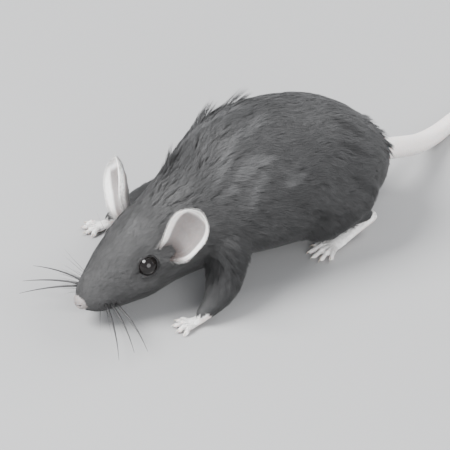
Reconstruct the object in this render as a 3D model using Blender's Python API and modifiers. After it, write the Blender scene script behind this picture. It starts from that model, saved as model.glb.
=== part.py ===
"""A live grey mouse at life size, standing with its head low, parted into named solids.

The mouse faces -Y, its left side is +X, and it stands on the floor at Z = 0. The origin is on the
floor under the middle of its box, tail included. The tables are in millimetres, and give places
as the distance to the mouse's left of its midline, behind its nose, and above the floor.
Every outline is that of the coat, out to the tips of the hairs.
"""

import math

import bmesh
import bpy
import numpy as np
from mathutils import Matrix, Vector

MM = 0.001

# Driving dimensions.
MIDLINE = 7.65  # the midline lies this far to the left of the origin
NOSE = -88.0  # the tip of the nose lies this far in front of the origin
SIDES = {"left": 1.0, "right": -1.0}
GAP = 0.3  # between neighbouring solids
EYE = {"place": (6.8, 16.0, 15.9), "radius": 2.8}
EAR = {"place": (10.2, 21.4, 18.2), "length": 14.8, "width": 10.8, "thick": 0.75, "bend": 2.2}
# Each ear's way from its root to its tip and the way it opens: the left one pricked, the right
# one turned out.
EAR_WAYS = {
    "left": ((0.28, 0.34, 0.9), (0.5, -0.85, 0.1)),
    "right": ((-0.78, 0.33, 0.52), (-0.28, -0.9, 0.25)),
}

# Body from the nose to the tail root: distance behind the nose, height of the middle, half
# width, and how far the back and the belly lie from the middle.
BODY = {
    "nose_tip": (0.0, 6.7, 0.9, 0.8, 0.9),
    "nose": (0.9, 6.9, 1.95, 1.7, 1.9),
    "upper_lip": (2.8, 7.4, 3.7, 3.5, 4.2),
    "whisker_pad": (5.6, 8.4, 5.3, 5.3, 5.9),
    "bridge": (9.0, 9.8, 6.8, 6.9, 7.5),
    "eyes": (13.0, 11.7, 8.2, 8.4, 9.2),
    "brow": (16.8, 13.5, 9.4, 9.7, 10.4),
    "ears": (21.0, 15.4, 10.3, 10.7, 11.3),
    "neck": (26.5, 17.3, 11.3, 10.8, 12.5),
    "shoulders": (34.0, 19.4, 13.8, 13.6, 13.9),
    "ribs": (44.0, 20.8, 16.8, 21.1, 15.0),
    "loin": (56.0, 20.9, 17.8, 21.6, 16.7),
    "haunches": (68.0, 19.8, 17.4, 18.9, 16.0),
    "hips": (78.0, 17.8, 14.8, 14.2, 12.2),
    "rump": (85.0, 16.2, 9.8, 9.2, 7.0),
    "tail_root": (89.5, 14.9, 3.9, 3.9, 3.3),
}
# The cuts between them: distance behind the nose, height, and lean of the cut in degrees.
NOSE_END = (1.3, 7.4, 30.0)
HEAD_END = (26.5, 17.4, 15.0)
NECK_END = (32.0, 19.0, 12.0)

# Legs as chains from the body to the foot, each station with its radius.
LEGS = {
    "foreleg_left": (
        (9.2, 37.0, 16.0, 6.8),
        (12.2, 35.0, 11.6, 5.3),
        (14.9, 31.9, 7.6, 4.0),
        (16.1, 28.7, 4.9, 2.9),
        (16.5, 25.4, 2.9, 1.9),
    ),
    "foreleg_right": (
        (-9.5, 39.5, 16.5, 6.6),
        (-15.6, 39.4, 13.2, 5.5),
        (-22.3, 36.4, 9.4, 4.0),
        (-26.5, 32.8, 6.0, 2.8),
        (-28.8, 29.2, 3.1, 1.7),
    ),
    "hindleg_left": (
        (10.6, 72.5, 17.0, 7.6),
        (11.4, 66.2, 14.6, 6.8),
        (11.8, 62.2, 11.8, 4.6),
        (10.2, 70.5, 9.4, 3.2),
        (8.8, 79.4, 5.8, 2.1),
    ),
    "hindleg_right": (
        (-11.0, 71.0, 16.0, 7.8),
        (-12.4, 64.8, 13.0, 7.3),
        (-13.4, 59.4, 9.6, 5.1),
        (-12.6, 66.4, 6.6, 4.2),
        (-11.4, 76.5, 3.6, 2.2),
    ),
}
FOOT_ZONE = 3.7
LEG_ZONE = 1.3  # how far a leg's solid reaches beyond its own chain into the body

# Feet: the leg each belongs to, where its wrist or heel is, how many degrees it turns out and how
# far its heel is raised. Soles: share of the palm's length, half width, height. Toes run from the
# thumb side: degrees out from the foot's line, length, place across.
FEET = {
    "forepaw_left": ("foreleg_left", (16.3, 25.4), -12.0, 0.8, "forepaw"),
    "forepaw_right": ("foreleg_right", (-28.8, 29.2), 20.0, 0.8, "forepaw"),
    "hindfoot_left": ("hindleg_left", (8.7, 81.2), 5.0, 2.8, "hindfoot"),
    "hindfoot_right": ("hindleg_right", (-11.4, 78.4), 10.0, 0.0, "hindfoot"),
}
FOOT_SIZES = {
    "forepaw": {
        "palm": 3.9,
        "sole": ((0.0, 1.2, 1.8), (0.5, 1.5, 1.85), (0.85, 1.95, 1.8), (1.05, 1.7, 1.35)),
        "toe": 0.62,
        "toes": ((-38.0, 2.5, -1.0), (-12.0, 3.5, -0.4), (11.0, 3.4, 0.4), (36.0, 2.6, 1.0)),
    },
    "hindfoot": {
        "palm": 13.6,
        "sole": ((0.0, 1.65, 2.9), (0.35, 1.6, 2.5), (0.75, 1.95, 2.2), (1.0, 2.05, 1.5)),
        "toe": 0.68,
        "toes": (
            (-36.0, 3.0, -1.3),
            (-13.0, 5.0, -0.75),
            (0.0, 5.6, 0.0),
            (13.0, 5.1, 0.75),
            (34.0, 3.6, 1.2),
        ),
    },
}
# The cut between leg and foot: distance ahead of the heel, height, lean back in degrees.
ANKLE = {"forepaw": (0.2, 2.7, 40.0), "hindfoot": (2.0, 3.35, 4.0)}

# Tail from inside the rump to the tip, each station with its radius.
TAIL = (
    (0.0, 86.0, 15.8, 3.0),
    (-0.5, 92.0, 14.8, 2.95),
    (-3.0, 99.5, 11.1, 2.85),
    (-7.0, 108.0, 6.5, 2.7),
    (-11.6, 117.5, 3.2, 2.45),
    (-16.0, 128.0, 2.0, 2.1),
    (-18.6, 139.0, 1.6, 1.7),
    (-17.0, 150.5, 1.15, 1.25),
    (-11.6, 160.5, 0.88, 0.98),
    (-4.6, 168.5, 0.65, 0.75),
    (2.8, 175.6, 0.44, 0.5),
)
TAIL_PIECES = 4

# How fine the solids are.
BODY_VOXEL = 0.5
SKIN_VOXEL = 0.28
ZONE_VOXEL = 0.6
SOFTENING = 24
BODY_TRIANGLES = 3500
ZONE_TRIANGLES = 210
RING_POINTS = 36
TAIL_SIDES = 12
TAIL_STEPS = 3
COLOURS = {
    "coat": ((0.12, 0.12, 0.12), 0.85),
    "ear_skin": ((0.62, 0.55, 0.53), 0.6),
    "nose_skin": ((0.40, 0.34, 0.34), 0.45),
    "foot_skin": ((0.70, 0.62, 0.60), 0.6),
    "tail_skin": ((0.62, 0.56, 0.54), 0.6),
    "eye": ((0.006, 0.005, 0.005), 0.08),
}


def placed(point):
    """A point of the tables as one in metres in the mouse's own frame."""
    return Vector((point[0] + MIDLINE, point[1] + NOSE, point[2])) * MM


def smooth_rows(rows, steps):
    """Rows of numbers along the smooth curve (Catmull-Rom) that runs through the given rows."""
    rows = np.asarray(rows, float)
    ends = np.vstack([2 * rows[0] - rows[1], rows, 2 * rows[-1] - rows[-2]])
    shares = np.linspace(0.0, 1.0, steps, endpoint=False)[:, None]
    pieces = []
    for before, a, b, after in zip(ends, ends[1:], ends[2:], ends[3:]):
        linear = 0.5 * shares * (b - before)
        square = 0.5 * shares**2 * (2 * before - 5 * a + 4 * b - after)
        cube = 0.5 * shares**3 * (3 * a - before - 3 * b + after)
        pieces.append(a + linear + square + cube)
    return np.vstack([*pieces, rows[-1:]])


def directions(points):
    along = np.gradient(points, axis=0)
    return along / np.linalg.norm(along, axis=1)[:, None]


def mesh_object(name, mesh):
    obj = bpy.data.objects.new(name, mesh)
    bpy.context.scene.collection.objects.link(obj)
    return obj


def mesh_from(name, form):
    mesh = bpy.data.meshes.new(name)
    form.to_mesh(mesh)
    form.free()
    return mesh


def loft(name, rings):
    """A closed skin over rings that have the same number of points."""
    form = bmesh.new()
    loops = [[form.verts.new(point) for point in ring] for ring in rings]
    count = len(loops[0])
    for near, far in zip(loops, loops[1:]):
        for i in range(count):
            j = (i + 1) % count
            form.faces.new((near[i], near[j], far[j], far[i]))
    form.faces.new(loops[0])
    form.faces.new(loops[-1])
    bmesh.ops.recalc_face_normals(form, faces=form.faces)
    return mesh_object(name, mesh_from(name, form))


def body_form():
    """The trunk, neck and head in one, each ring square to the line through their middles."""
    rows = smooth_rows(list(BODY.values()), 5)
    rings = []
    for (y, z, width, up, down), (back, rise) in zip(rows, directions(rows[:, :2])):
        ring = []
        for i in range(RING_POINTS):
            angle = 2 * math.pi * i / RING_POINTS
            lift = math.cos(angle) * (up if math.cos(angle) > 0 else down)
            ring.append(placed((width * math.sin(angle), y - lift * rise, z + lift * back)))
        rings.append(ring)
    return loft("body_form", rings)


def chain(name, stations, steps=6, sides=20, floor=None):
    """A tube with round ends through stations of (side, behind, height, radius, width over height)."""
    rows = smooth_rows(stations, steps)
    points, radii = rows[:, :3], rows[:, 3]
    wides = rows[:, 4] if rows.shape[1] > 4 else np.ones(len(rows))
    along = directions(points)
    turns = np.linspace(0.15, math.pi / 2, 5)[:-1]
    sections = []
    for turn in turns:
        centre = points[0] - along[0] * radii[0] * wides[0] * math.cos(turn)
        sections.append((centre, along[0], radii[0] * math.sin(turn), wides[0]))
    sections += zip(points, along, radii, wides)
    for turn in reversed(turns):
        centre = points[-1] + along[-1] * radii[-1] * wides[-1] * math.cos(turn)
        sections.append((centre, along[-1], radii[-1] * math.sin(turn), wides[-1]))
    rings = []
    side = np.cross(along[0], (0.0, 0.0, 1.0))
    for centre, way, radius, wide in sections:
        side = side - way * (side @ way)
        side /= np.linalg.norm(side)
        lift = np.cross(side, way)
        ring = []
        for i in range(sides):
            angle = 2 * math.pi * i / sides
            spread = side * math.cos(angle) * wide + lift * math.sin(angle)
            x, y, z = centre + radius * spread
            ring.append(placed((x, y, z if floor is None else max(z, floor))))
        rings.append(ring)
    return loft(name, rings)


def foot_line(name):
    """A foot's heel as a point on the floor, the way it points and the way to its outer side."""
    _, heel, turn, _, _ = FEET[name]
    outward = 1.0 if heel[0] > 0 else -1.0
    angle = math.radians(turn)
    forward = np.array((outward * math.sin(angle), -math.cos(angle), 0.0))
    across = np.array((outward * math.cos(angle), math.sin(angle), 0.0))
    return np.array((*heel, 0.0)), forward, across


def foot_forms(name):
    """The palm and the toes, each toe ending in its claw."""
    sizes = FOOT_SIZES[FEET[name][4]]
    heel, forward, across = foot_line(name)
    palm = sizes["palm"]
    ball = heel + forward * palm
    sole = []
    for share, width, height in sizes["sole"]:
        x, y, _ = heel + forward * palm * share
        raised = FEET[name][3] * max(0.0, 1.0 - share) ** 1.3
        sole.append((x, y, raised + 0.46 * height, 0.54 * height, width / (0.54 * height)))
    forms = [chain(name + "_palm", sole, floor=0.0)]
    for turn, length, offset in sizes["toes"]:
        angle = math.radians(turn)
        way = forward * math.cos(angle) + across * math.sin(angle)
        root = ball + across * offset * 1.15 - forward * 0.6
        toe = sizes["toe"]
        stations = (
            (*(root + (0.0, 0.0, 1.0)), toe * 1.1),
            (*(root + way * length * 0.45 + (0.0, 0.0, 1.15)), toe),
            (*(root + way * length * 0.9 + (0.0, 0.0, 0.62)), toe * 0.95),
            (*(root + way * (length + 1.0) + (0.0, 0.0, 0.42)), 0.3),
        )
        forms.append(chain(name + "_toe", stations, steps=3, sides=10, floor=0.0))
    return forms


def joined(name, objects):
    """One object holding the given ones' meshes, which are used up."""
    form = bmesh.new()
    for obj in objects:
        form.from_mesh(obj.data)
        bpy.data.objects.remove(obj)
    return mesh_object(name, mesh_from(name, form))


def evaluated_mesh(obj):
    """The object's mesh as its modifiers leave it. The object is used up."""
    graph = bpy.context.evaluated_depsgraph_get()
    mesh = bpy.data.meshes.new_from_object(obj.evaluated_get(graph))
    bpy.data.objects.remove(obj)
    return mesh


def fused(name, objects, voxel, smoothing):
    """The objects grown into one closed body with smooth joins."""
    obj = joined(name, objects)
    remesh = obj.modifiers.new("fuse", "REMESH")
    remesh.mode = "VOXEL"
    remesh.voxel_size = voxel * MM
    smooth = obj.modifiers.new("smooth", "SMOOTH")
    smooth.factor = 0.5
    smooth.iterations = smoothing
    return mesh_object(name, evaluated_mesh(obj))


def softened(obj):
    """The trunk and the tops of the legs smoothed until the legs run into it without a crease."""
    group = obj.vertex_groups.new(name="soft")
    for vert in obj.data.vertices:
        behind, height = vert.co.y / MM - NOSE, vert.co.z / MM
        share = min(1.0, max(0.0, (behind - 30.0) / 10.0)) * min(1.0, max(0.0, (height - 4.0) / 4.0))
        group.add([vert.index], share, "REPLACE")
    smooth = obj.modifiers.new("soften", "SMOOTH")
    smooth.vertex_group = "soft"
    smooth.factor = 0.5
    smooth.iterations = SOFTENING
    return mesh_object(obj.name, evaluated_mesh(obj))


def thinned(obj, triangles):
    """The object with about that many triangles."""
    name = obj.name
    thin = obj.modifiers.new("thin_out", "DECIMATE")
    thin.ratio = min(1.0, triangles / (2 * len(obj.data.polygons)))
    return mesh_object(name, evaluated_mesh(obj))


def half(obj, name, point, normal, moved=0.0):
    """A new object: the part of obj on the side its cut plane's normal points to, closed."""
    normal = Vector(normal).normalized()
    form = bmesh.new()
    form.from_mesh(obj.data)
    everything = form.verts[:] + form.edges[:] + form.faces[:]
    at = placed(point) + normal * moved * MM
    bmesh.ops.bisect_plane(form, geom=everything, plane_co=at, plane_no=normal, clear_inner=True)
    rim = [edge for edge in form.edges if edge.is_boundary]
    bmesh.ops.holes_fill(form, edges=rim)
    bmesh.ops.recalc_face_normals(form, faces=form.faces)
    return mesh_object(name, mesh_from(name, form))


def split(obj, near_name, far_name, point, normal):
    """The object parted at a plane with a thin gap. The object is used up."""
    normal = Vector(normal).normalized()
    near = half(obj, near_name, point, -normal, GAP / 2)
    far = half(obj, far_name, point, normal, GAP / 2)
    bpy.data.objects.remove(obj)
    return near, far


def boolean(obj, cutter, operation):
    """The object cut or kept by the cutter, which stays. The object is used up."""
    name = obj.name
    cut = obj.modifiers.new("cut", "BOOLEAN")
    cut.object = cutter
    cut.operation = operation
    cut.solver = "EXACT"
    mesh = evaluated_mesh(obj)
    keep_largest(mesh)
    return mesh_object(name, mesh)


def keep_largest(mesh):
    """Drops the crumbs that a cut leaves where it grazes the surface."""
    form = bmesh.new()
    form.from_mesh(mesh)
    left = set(form.verts)
    islands = []
    while left:
        island = {left.pop()}
        edge_of_growth = list(island)
        while edge_of_growth:
            vert = edge_of_growth.pop()
            near = {edge.other_vert(vert) for edge in vert.link_edges} & left
            left -= near
            island |= near
            edge_of_growth += near
        islands.append(island)
    islands.sort(key=len)
    for island in islands[:-1]:
        bmesh.ops.delete(form, geom=list(island), context="VERTS")
    form.to_mesh(mesh)
    form.free()


def copied(obj, name):
    return mesh_object(name, obj.data.copy())


def swollen(obj, by):
    """A copy of the object whose skin lies further out by that many millimetres."""
    mesh = obj.data.copy()
    moved = [vert.co + vert.normal * by * MM for vert in mesh.vertices]
    for vert, place in zip(mesh.vertices, moved):
        vert.co = place
    return mesh_object(obj.name + "_swollen", mesh)


def limb_zone(name):
    """The space that a whole limb takes up in the body: its chain and its foot, thickened."""
    foot = next(foot for foot in FEET if FEET[foot][0] == name)
    heel, forward, _ = foot_line(foot)
    sizes = FOOT_SIZES[FEET[foot][4]]
    reach = sizes["palm"] + 1.2 * max(toe[1] for toe in sizes["toes"])
    leg = [(x, y, z, radius + LEG_ZONE) for x, y, z, radius in LEGS[name]]
    raised = heel + (0.0, 0.0, FEET[foot][3])
    sole = [(*raised, FOOT_ZONE, 1.7), (*(heel + forward * reach), FOOT_ZONE, 1.7)]
    forms = [chain(name + "_zone", leg), chain(name + "_foot_zone", sole)]
    return thinned(fused(name + "_zone", forms, ZONE_VOXEL, 6), ZONE_TRIANGLES)


def ear(name, side, grown=0.0):
    """A thin cupped ear, its root a funnel bent into the head, its tip open and round."""
    up, facing = (Vector(way).normalized() for way in EAR_WAYS[side])
    facing = (facing - up * facing.dot(up)).normalized()
    across = up.cross(facing)
    root = placed((EAR["place"][0] * SIDES[side], *EAR["place"][1:]))
    form = bmesh.new()
    rows = []
    for height in (0.0, 0.18, 0.36, 0.54, 0.7, 0.84, 0.95, 1.0):
        if height > 0.58:
            share = math.sqrt(max(0.0, 1 - ((height - 0.58) / 0.42) ** 2))
        else:
            share = 0.68 + 0.32 * math.sin(0.5 * math.pi * height / 0.58) ** 0.6
        half_width = 0.5 * EAR["width"] * share + grown
        curl = math.radians(95 - 52 * height)
        radius = half_width / curl * 1.12
        tall = (EAR["length"] + 2 * grown) * height - grown
        bend = Vector((-SIDES[side] * EAR["bend"] * max(0.0, 1.0 - height / 0.3) ** 2, 0.0, 0.0))
        row = []
        for i in range(11):
            angle = curl * (i / 5 - 1)
            ahead = radius * (1 - math.cos(angle)) - 1.2 * math.sin(math.pi * height)
            place = up * tall + across * radius * math.sin(angle) + facing * ahead + bend
            row.append(form.verts.new(root + place * MM))
        rows.append(row)
    for near, far in zip(rows, rows[1:]):
        for a, b, c, d in zip(near, near[1:], far[1:], far):
            form.faces.new((a, b, c, d))
    bmesh.ops.remove_doubles(form, verts=form.verts, dist=0.01 * MM)
    obj = mesh_object(name, mesh_from(name, form))
    shell = obj.modifiers.new("thickness", "SOLIDIFY")
    shell.thickness = (EAR["thick"] + 2 * grown) * MM
    shell.offset = 0.0
    return mesh_object(name, evaluated_mesh(obj))


def eye(name, side, grown=0.0):
    form = bmesh.new()
    place = placed((EYE["place"][0] * SIDES[side], *EYE["place"][1:]))
    radius = (EYE["radius"] + grown) * MM
    fineness = 2 if grown else 3
    bmesh.ops.create_icosphere(form, subdivisions=fineness, radius=radius, matrix=Matrix.Translation(place))
    return mesh_object(name, mesh_from(name, form))


def lean(degrees):
    """The way back along the mouse, tipped up by some degrees."""
    return (0.0, math.cos(math.radians(degrees)), math.sin(math.radians(degrees)))


def whole_body():
    """Head, neck, trunk, legs and feet grown together."""
    forms = [body_form()]
    forms += [chain(leg, stations) for leg, stations in LEGS.items()]
    body = softened(fused("body", forms, BODY_VOXEL, 8))
    feet = [form for foot in FEET for form in foot_forms(foot)]
    return thinned(fused("body", [body, *feet], SKIN_VOXEL, 1), BODY_TRIANGLES)


def limb(body, foot):
    """The leg and the foot at its end, taken out of the body. Returns the rest of the body too."""
    leg, _, _, raised, kind = FEET[foot]
    zone = limb_zone(leg)
    whole = boolean(copied(body, "limb"), zone, "INTERSECT")
    body = without(body, swollen(zone, GAP))
    bpy.data.objects.remove(zone)
    heel, forward, _ = foot_line(foot)
    ahead, height, tip = ANKLE[kind]
    point = heel + forward * ahead + (0.0, 0.0, height + raised)
    angle = math.radians(tip)
    normal = Vector((0.0, 0.0, math.cos(angle))) - Vector(forward) * math.sin(angle)
    low, high = split(whole, foot, leg, point, normal)
    return body, [high, low]


def tail_pieces():
    """The tail, pressed flat where it lies on the floor, cut into lengths."""
    rest = chain("tail", TAIL, TAIL_STEPS, TAIL_SIDES, floor=0.0)
    points = smooth_rows(TAIL, TAIL_STEPS)[:, :3]
    ways = directions(points)
    pieces = []
    for number in range(1, TAIL_PIECES):
        at = round(number * len(points) / TAIL_PIECES)
        piece, rest = split(rest, f"tail_{number}", "tail", points[at], ways[at])
        pieces.append(piece)
    rest.name = f"tail_{TAIL_PIECES}"
    return [*pieces, rest]


def without(obj, cutter):
    """The object with the cutter's shape taken out. Both are used up."""
    obj = boolean(obj, cutter, "DIFFERENCE")
    bpy.data.objects.remove(cutter)
    return obj


def material(name):
    colour, roughness = COLOURS[name]
    made = bpy.data.materials.new(name)
    made.use_nodes = True
    shader = made.node_tree.nodes["Principled BSDF"]
    shader.inputs["Base Color"].default_value = (*colour, 1.0)
    shader.inputs["Roughness"].default_value = roughness
    made.diffuse_color = (*colour, 1.0)
    return made


def slot(name):
    """The material of a part, from its name."""
    by_start = {
        "ear": "ear_skin",
        "nose": "nose_skin",
        "eye": "eye",
        "forepaw": "foot_skin",
        "hindfoot": "foot_skin",
        "tail": "tail_skin",
    }
    return by_start.get(name.split("_")[0], "coat")


def build():
    body = whole_body()
    parts = []
    for foot in FEET:
        body, limbs = limb(body, foot)
        parts += limbs
    nose, body = split(body, "nose", "body", (0.0, *NOSE_END[:2]), lean(NOSE_END[2]))
    head, body = split(body, "head", "body", (0.0, *HEAD_END[:2]), lean(HEAD_END[2]))
    neck, trunk = split(body, "neck", "trunk", (0.0, *NECK_END[:2]), lean(NECK_END[2]))
    for side in SIDES:
        head = without(head, ear("ear_cut", side, GAP))
        head = without(head, eye("eye_cut", side, GAP))
        parts += [ear("ear_" + side, side), eye("eye_" + side, side)]
    grown_tail = [(x, y, z, radius + GAP) for x, y, z, radius in TAIL[:4]]
    trunk = without(trunk, chain("tail_cut", grown_tail, TAIL_STEPS, TAIL_SIDES))
    return [nose, head, neck, trunk, *parts, *tail_pieces()]


if __name__ == "__main__":
    for old in list(bpy.data.objects):
        bpy.data.objects.remove(old)
    mouse = bpy.data.collections.new("mouse")
    bpy.context.scene.collection.children.link(mouse)
    materials = {name: material(name) for name in COLOURS}
    for part in build():
        bpy.context.scene.collection.objects.unlink(part)
        mouse.objects.link(part)
        part.data.name = part.name
        part.data.materials.clear()
        part.data.materials.append(materials[slot(part.name)])
        part.data.shade_smooth()
        part.data.set_sharp_from_angle(angle=math.radians(40))
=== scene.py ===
"""Looks of the grey mouse: one skin over the solids, eyes, claws, whiskers and a mesh coat.

The tables are in millimetres and give places as the distance to the mouse's left of its midline,
behind its nose and above the floor, as the solids' own tables do. Arrays of points stay in these
units until a mesh is made of them.
"""

import math

import bmesh
import bpy
import numpy as np
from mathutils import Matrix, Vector
from mathutils.bvhtree import BVHTree
from mathutils.kdtree import KDTree


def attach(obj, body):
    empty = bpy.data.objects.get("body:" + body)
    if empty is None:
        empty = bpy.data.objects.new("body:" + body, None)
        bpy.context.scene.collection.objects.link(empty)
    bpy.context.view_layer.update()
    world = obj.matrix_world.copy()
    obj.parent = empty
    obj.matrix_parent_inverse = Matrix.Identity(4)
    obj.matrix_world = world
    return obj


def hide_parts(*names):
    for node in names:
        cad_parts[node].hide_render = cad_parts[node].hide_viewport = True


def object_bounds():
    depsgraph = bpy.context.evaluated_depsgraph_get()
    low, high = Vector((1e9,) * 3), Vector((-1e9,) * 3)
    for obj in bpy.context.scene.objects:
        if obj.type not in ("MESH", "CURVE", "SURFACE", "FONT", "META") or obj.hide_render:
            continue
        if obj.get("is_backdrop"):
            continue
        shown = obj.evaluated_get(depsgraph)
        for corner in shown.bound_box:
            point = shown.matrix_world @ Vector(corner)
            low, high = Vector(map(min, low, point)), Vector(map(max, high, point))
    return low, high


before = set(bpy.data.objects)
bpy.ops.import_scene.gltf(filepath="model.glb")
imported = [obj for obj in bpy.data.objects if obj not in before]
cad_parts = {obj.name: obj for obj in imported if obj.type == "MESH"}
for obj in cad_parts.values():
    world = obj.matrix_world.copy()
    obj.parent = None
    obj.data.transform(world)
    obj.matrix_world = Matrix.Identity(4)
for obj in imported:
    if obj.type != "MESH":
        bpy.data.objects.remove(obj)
cad_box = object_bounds()

MM = 0.001
MIDLINE = 7.65  # the midline lies this far to the left of the origin
NOSE = -88.0  # the tip of the nose lies this far in front of the origin
SIDES = {"left": 1.0, "right": -1.0}

# Body from the nose to the tail root: distance behind the nose, height of the middle, half
# width, how far the back and the belly lie from the middle, and the coat's depth.
BODY = {
    "nose_tip": (0.0, 6.7, 0.9, 0.8, 0.9, 0.3),
    "nose": (0.9, 6.9, 1.95, 1.7, 1.9, 0.3),
    "upper_lip": (2.8, 7.4, 3.7, 3.5, 4.2, 0.2),
    "whisker_pad": (5.6, 8.4, 5.3, 5.3, 5.9, 0.3),
    "bridge": (9.0, 9.8, 6.8, 6.9, 7.5, 0.45),
    "eyes": (13.0, 11.7, 8.2, 8.4, 9.2, 0.55),
    "brow": (16.8, 13.5, 9.4, 9.7, 10.4, 0.75),
    "ears": (21.0, 15.4, 10.3, 10.7, 11.3, 1.0),
    "neck": (26.5, 17.3, 11.3, 10.8, 12.5, 1.25),
    "shoulders": (34.0, 19.4, 13.8, 13.6, 13.9, 1.45),
    "ribs": (44.0, 20.8, 16.8, 21.1, 15.0, 1.55),
    "loin": (56.0, 20.9, 17.8, 21.6, 16.7, 1.6),
    "haunches": (68.0, 19.8, 17.4, 18.9, 16.0, 1.6),
    "hips": (78.0, 17.8, 14.8, 14.2, 12.2, 1.5),
    "rump": (85.0, 16.2, 9.8, 9.2, 7.0, 1.2),
    "tail_root": (89.5, 14.9, 3.9, 3.9, 3.3, 0.5),
}
LEGS = {
    "foreleg_left": (
        (9.2, 37.0, 16.0, 6.8),
        (12.2, 35.0, 11.6, 5.3),
        (14.9, 31.9, 7.6, 4.0),
        (16.1, 28.7, 4.9, 2.9),
        (16.5, 25.4, 2.9, 1.9),
    ),
    "foreleg_right": (
        (-9.5, 39.5, 16.5, 6.6),
        (-15.6, 39.4, 13.2, 5.5),
        (-22.3, 36.4, 9.4, 4.0),
        (-26.5, 32.8, 6.0, 2.8),
        (-28.8, 29.2, 3.1, 1.7),
    ),
    "hindleg_left": (
        (10.6, 72.5, 17.0, 7.6),
        (11.4, 66.2, 14.6, 6.8),
        (11.8, 62.2, 11.8, 4.6),
        (10.2, 70.5, 9.4, 3.2),
        (8.8, 79.4, 5.8, 2.1),
    ),
    "hindleg_right": (
        (-11.0, 71.0, 16.0, 7.8),
        (-12.4, 64.8, 13.0, 7.3),
        (-13.4, 59.4, 9.6, 5.1),
        (-12.6, 66.4, 6.6, 4.2),
        (-11.4, 76.5, 3.6, 2.2),
    ),
}
LEG_COAT = (1.2, 0.85, 0.5, 0.32, 0.18)

# Feet: the leg each belongs to, where its wrist or heel is, how many degrees it turns out and how
# far its heel is raised. Soles: share of the palm's length, half width, height. Toes run from the
# thumb side: degrees out from the foot's line, length, place across.
FEET = {
    "forepaw_left": ("foreleg_left", (16.3, 25.4), -12.0, 0.8),
    "forepaw_right": ("foreleg_right", (-28.8, 29.2), 20.0, 0.8),
    "hindfoot_left": ("hindleg_left", (8.7, 81.2), 5.0, 2.8),
    "hindfoot_right": ("hindleg_right", (-11.4, 78.4), 10.0, 0.0),
}
FOOT_SIZES = {
    "forepaw": {
        "palm": 3.9,
        "sole": ((0.0, 1.2, 1.8), (0.5, 1.5, 1.85), (0.85, 1.95, 1.8), (1.05, 1.7, 1.35)),
        "toe": 0.52,
        "claw": 1.15,
        "toes": ((-38.0, 2.5, -1.0), (-12.0, 3.5, -0.4), (11.0, 3.4, 0.4), (36.0, 2.6, 1.0)),
    },
    "hindfoot": {
        "palm": 13.6,
        "sole": ((0.0, 1.65, 2.9), (0.35, 1.6, 2.5), (0.75, 1.95, 2.2), (1.0, 2.05, 1.5)),
        "toe": 0.58,
        "claw": 1.35,
        "toes": (
            (-36.0, 3.0, -1.3),
            (-13.0, 5.0, -0.75),
            (0.0, 5.6, 0.0),
            (13.0, 5.1, 0.75),
            (34.0, 3.6, 1.2),
        ),
    },
}
TOE_SHAPE = (  # share of a toe's length, height of its middle, its radius over the toe's own
    (0.0, 1.0, 1.1),
    (0.28, 1.22, 0.95),
    (0.48, 1.3, 1.12),
    (0.7, 0.92, 0.88),
    (0.9, 0.62, 1.08),
    (1.0, 0.6, 0.8),
)
TAIL = (
    (0.0, 86.0, 15.8, 3.0),
    (-0.5, 92.0, 14.8, 2.95),
    (-3.0, 99.5, 11.1, 2.85),
    (-7.0, 108.0, 6.5, 2.7),
    (-11.6, 117.5, 3.2, 2.45),
    (-16.0, 128.0, 2.0, 2.1),
    (-18.6, 139.0, 1.6, 1.7),
    (-17.0, 150.5, 1.15, 1.25),
    (-11.6, 160.5, 0.88, 0.98),
    (-4.6, 168.5, 0.65, 0.75),
    (2.8, 175.6, 0.44, 0.5),
)
TAIL_RING = 0.62  # from one ring of scales to the next
TAIL_SKIN = 0.93  # the tail's bare thickness over its thickness with its hairs
SCALE_HEIGHT = 0.05
CLAW = {"radius": 0.27, "flat": 0.72, "curve": 1.25, "height": 0.78, "drop": 0.56}

EYE = {"place": (6.8, 16.0, 15.9), "radius": 2.75}
EYE_LOOKS = (0.86, -0.36, 0.37)  # the way the left eye faces
CORNEA = 62.0  # how many degrees from the front of the eye its clear cap ends
EYE_OPENING = (65.0, 54.0)  # half angles of the gap between the lids, along and across the head
EYE_CORNER = {"wider": 0.2, "off": 0.24}  # how much more the gap spans and reaches in front
EYE_BACK = (0.0, 0.83, 0.55)  # from the front corner of an eye to its back corner
LID_RIM = 0.15
LID_THICK = 0.12
SOCKET = 0.7  # how far the skin in the gap is from the eye's middle, over the eye's radius
NOSE_PAD = {"place": (0.0, 1.35, 7.0), "radii": (2.1, 1.4, 1.7)}
NOSTRIL = {"place": (1.15, 0.0, -0.15), "half": (0.42, 0.17), "slant": 0.55, "depth": 0.8}
EAR = {"place": (10.2, 21.4, 18.2), "length": 14.8, "width": 10.8, "thick": 0.42, "bend": 2.2}
EAR_ROWS, EAR_COLUMNS = 44, 45
EAR_WAYS = {  # from its root to its tip, and the way it opens
    "left": ((0.28, 0.34, 0.9), (0.5, -0.85, 0.1)),
    "right": ((-0.78, 0.33, 0.52), (-0.28, -0.9, 0.25)),
}

# How fine the skin is.
BODY_VOXEL = 0.5
SKIN_VOXEL = 0.22
TAIL_SIDES = 28
SOFTENING = 24  # steps of smoothing where the legs run into the trunk
BODY_TRIANGLES = 100000

# The lowest that each kind of piece comes over the floor.
LOWEST = {"foot": 0.02, "claw": 0.01, "coat": 0.04, "fine_hair": 0.03, "whisker": 0.25}


def placed(points):
    """Points of the tables in metres in the frame's own axes."""
    return (np.asarray(points, float) + (MIDLINE, NOSE, 0.0)) * MM


def unit(vectors):
    vectors = np.asarray(vectors, float)
    return vectors / np.maximum(np.linalg.norm(vectors, axis=-1, keepdims=True), 1e-9)


def blend(value, start, end):
    """Smooth step from 0 at start to 1 at end."""
    share = np.clip((value - start) / (end - start), 0.0, 1.0)
    return share * share * (3.0 - 2.0 * share)


def bell(value, width):
    """1 where the value is 0, falling softly to nothing over a few widths."""
    return np.exp(-((value / width) ** 2))


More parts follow.
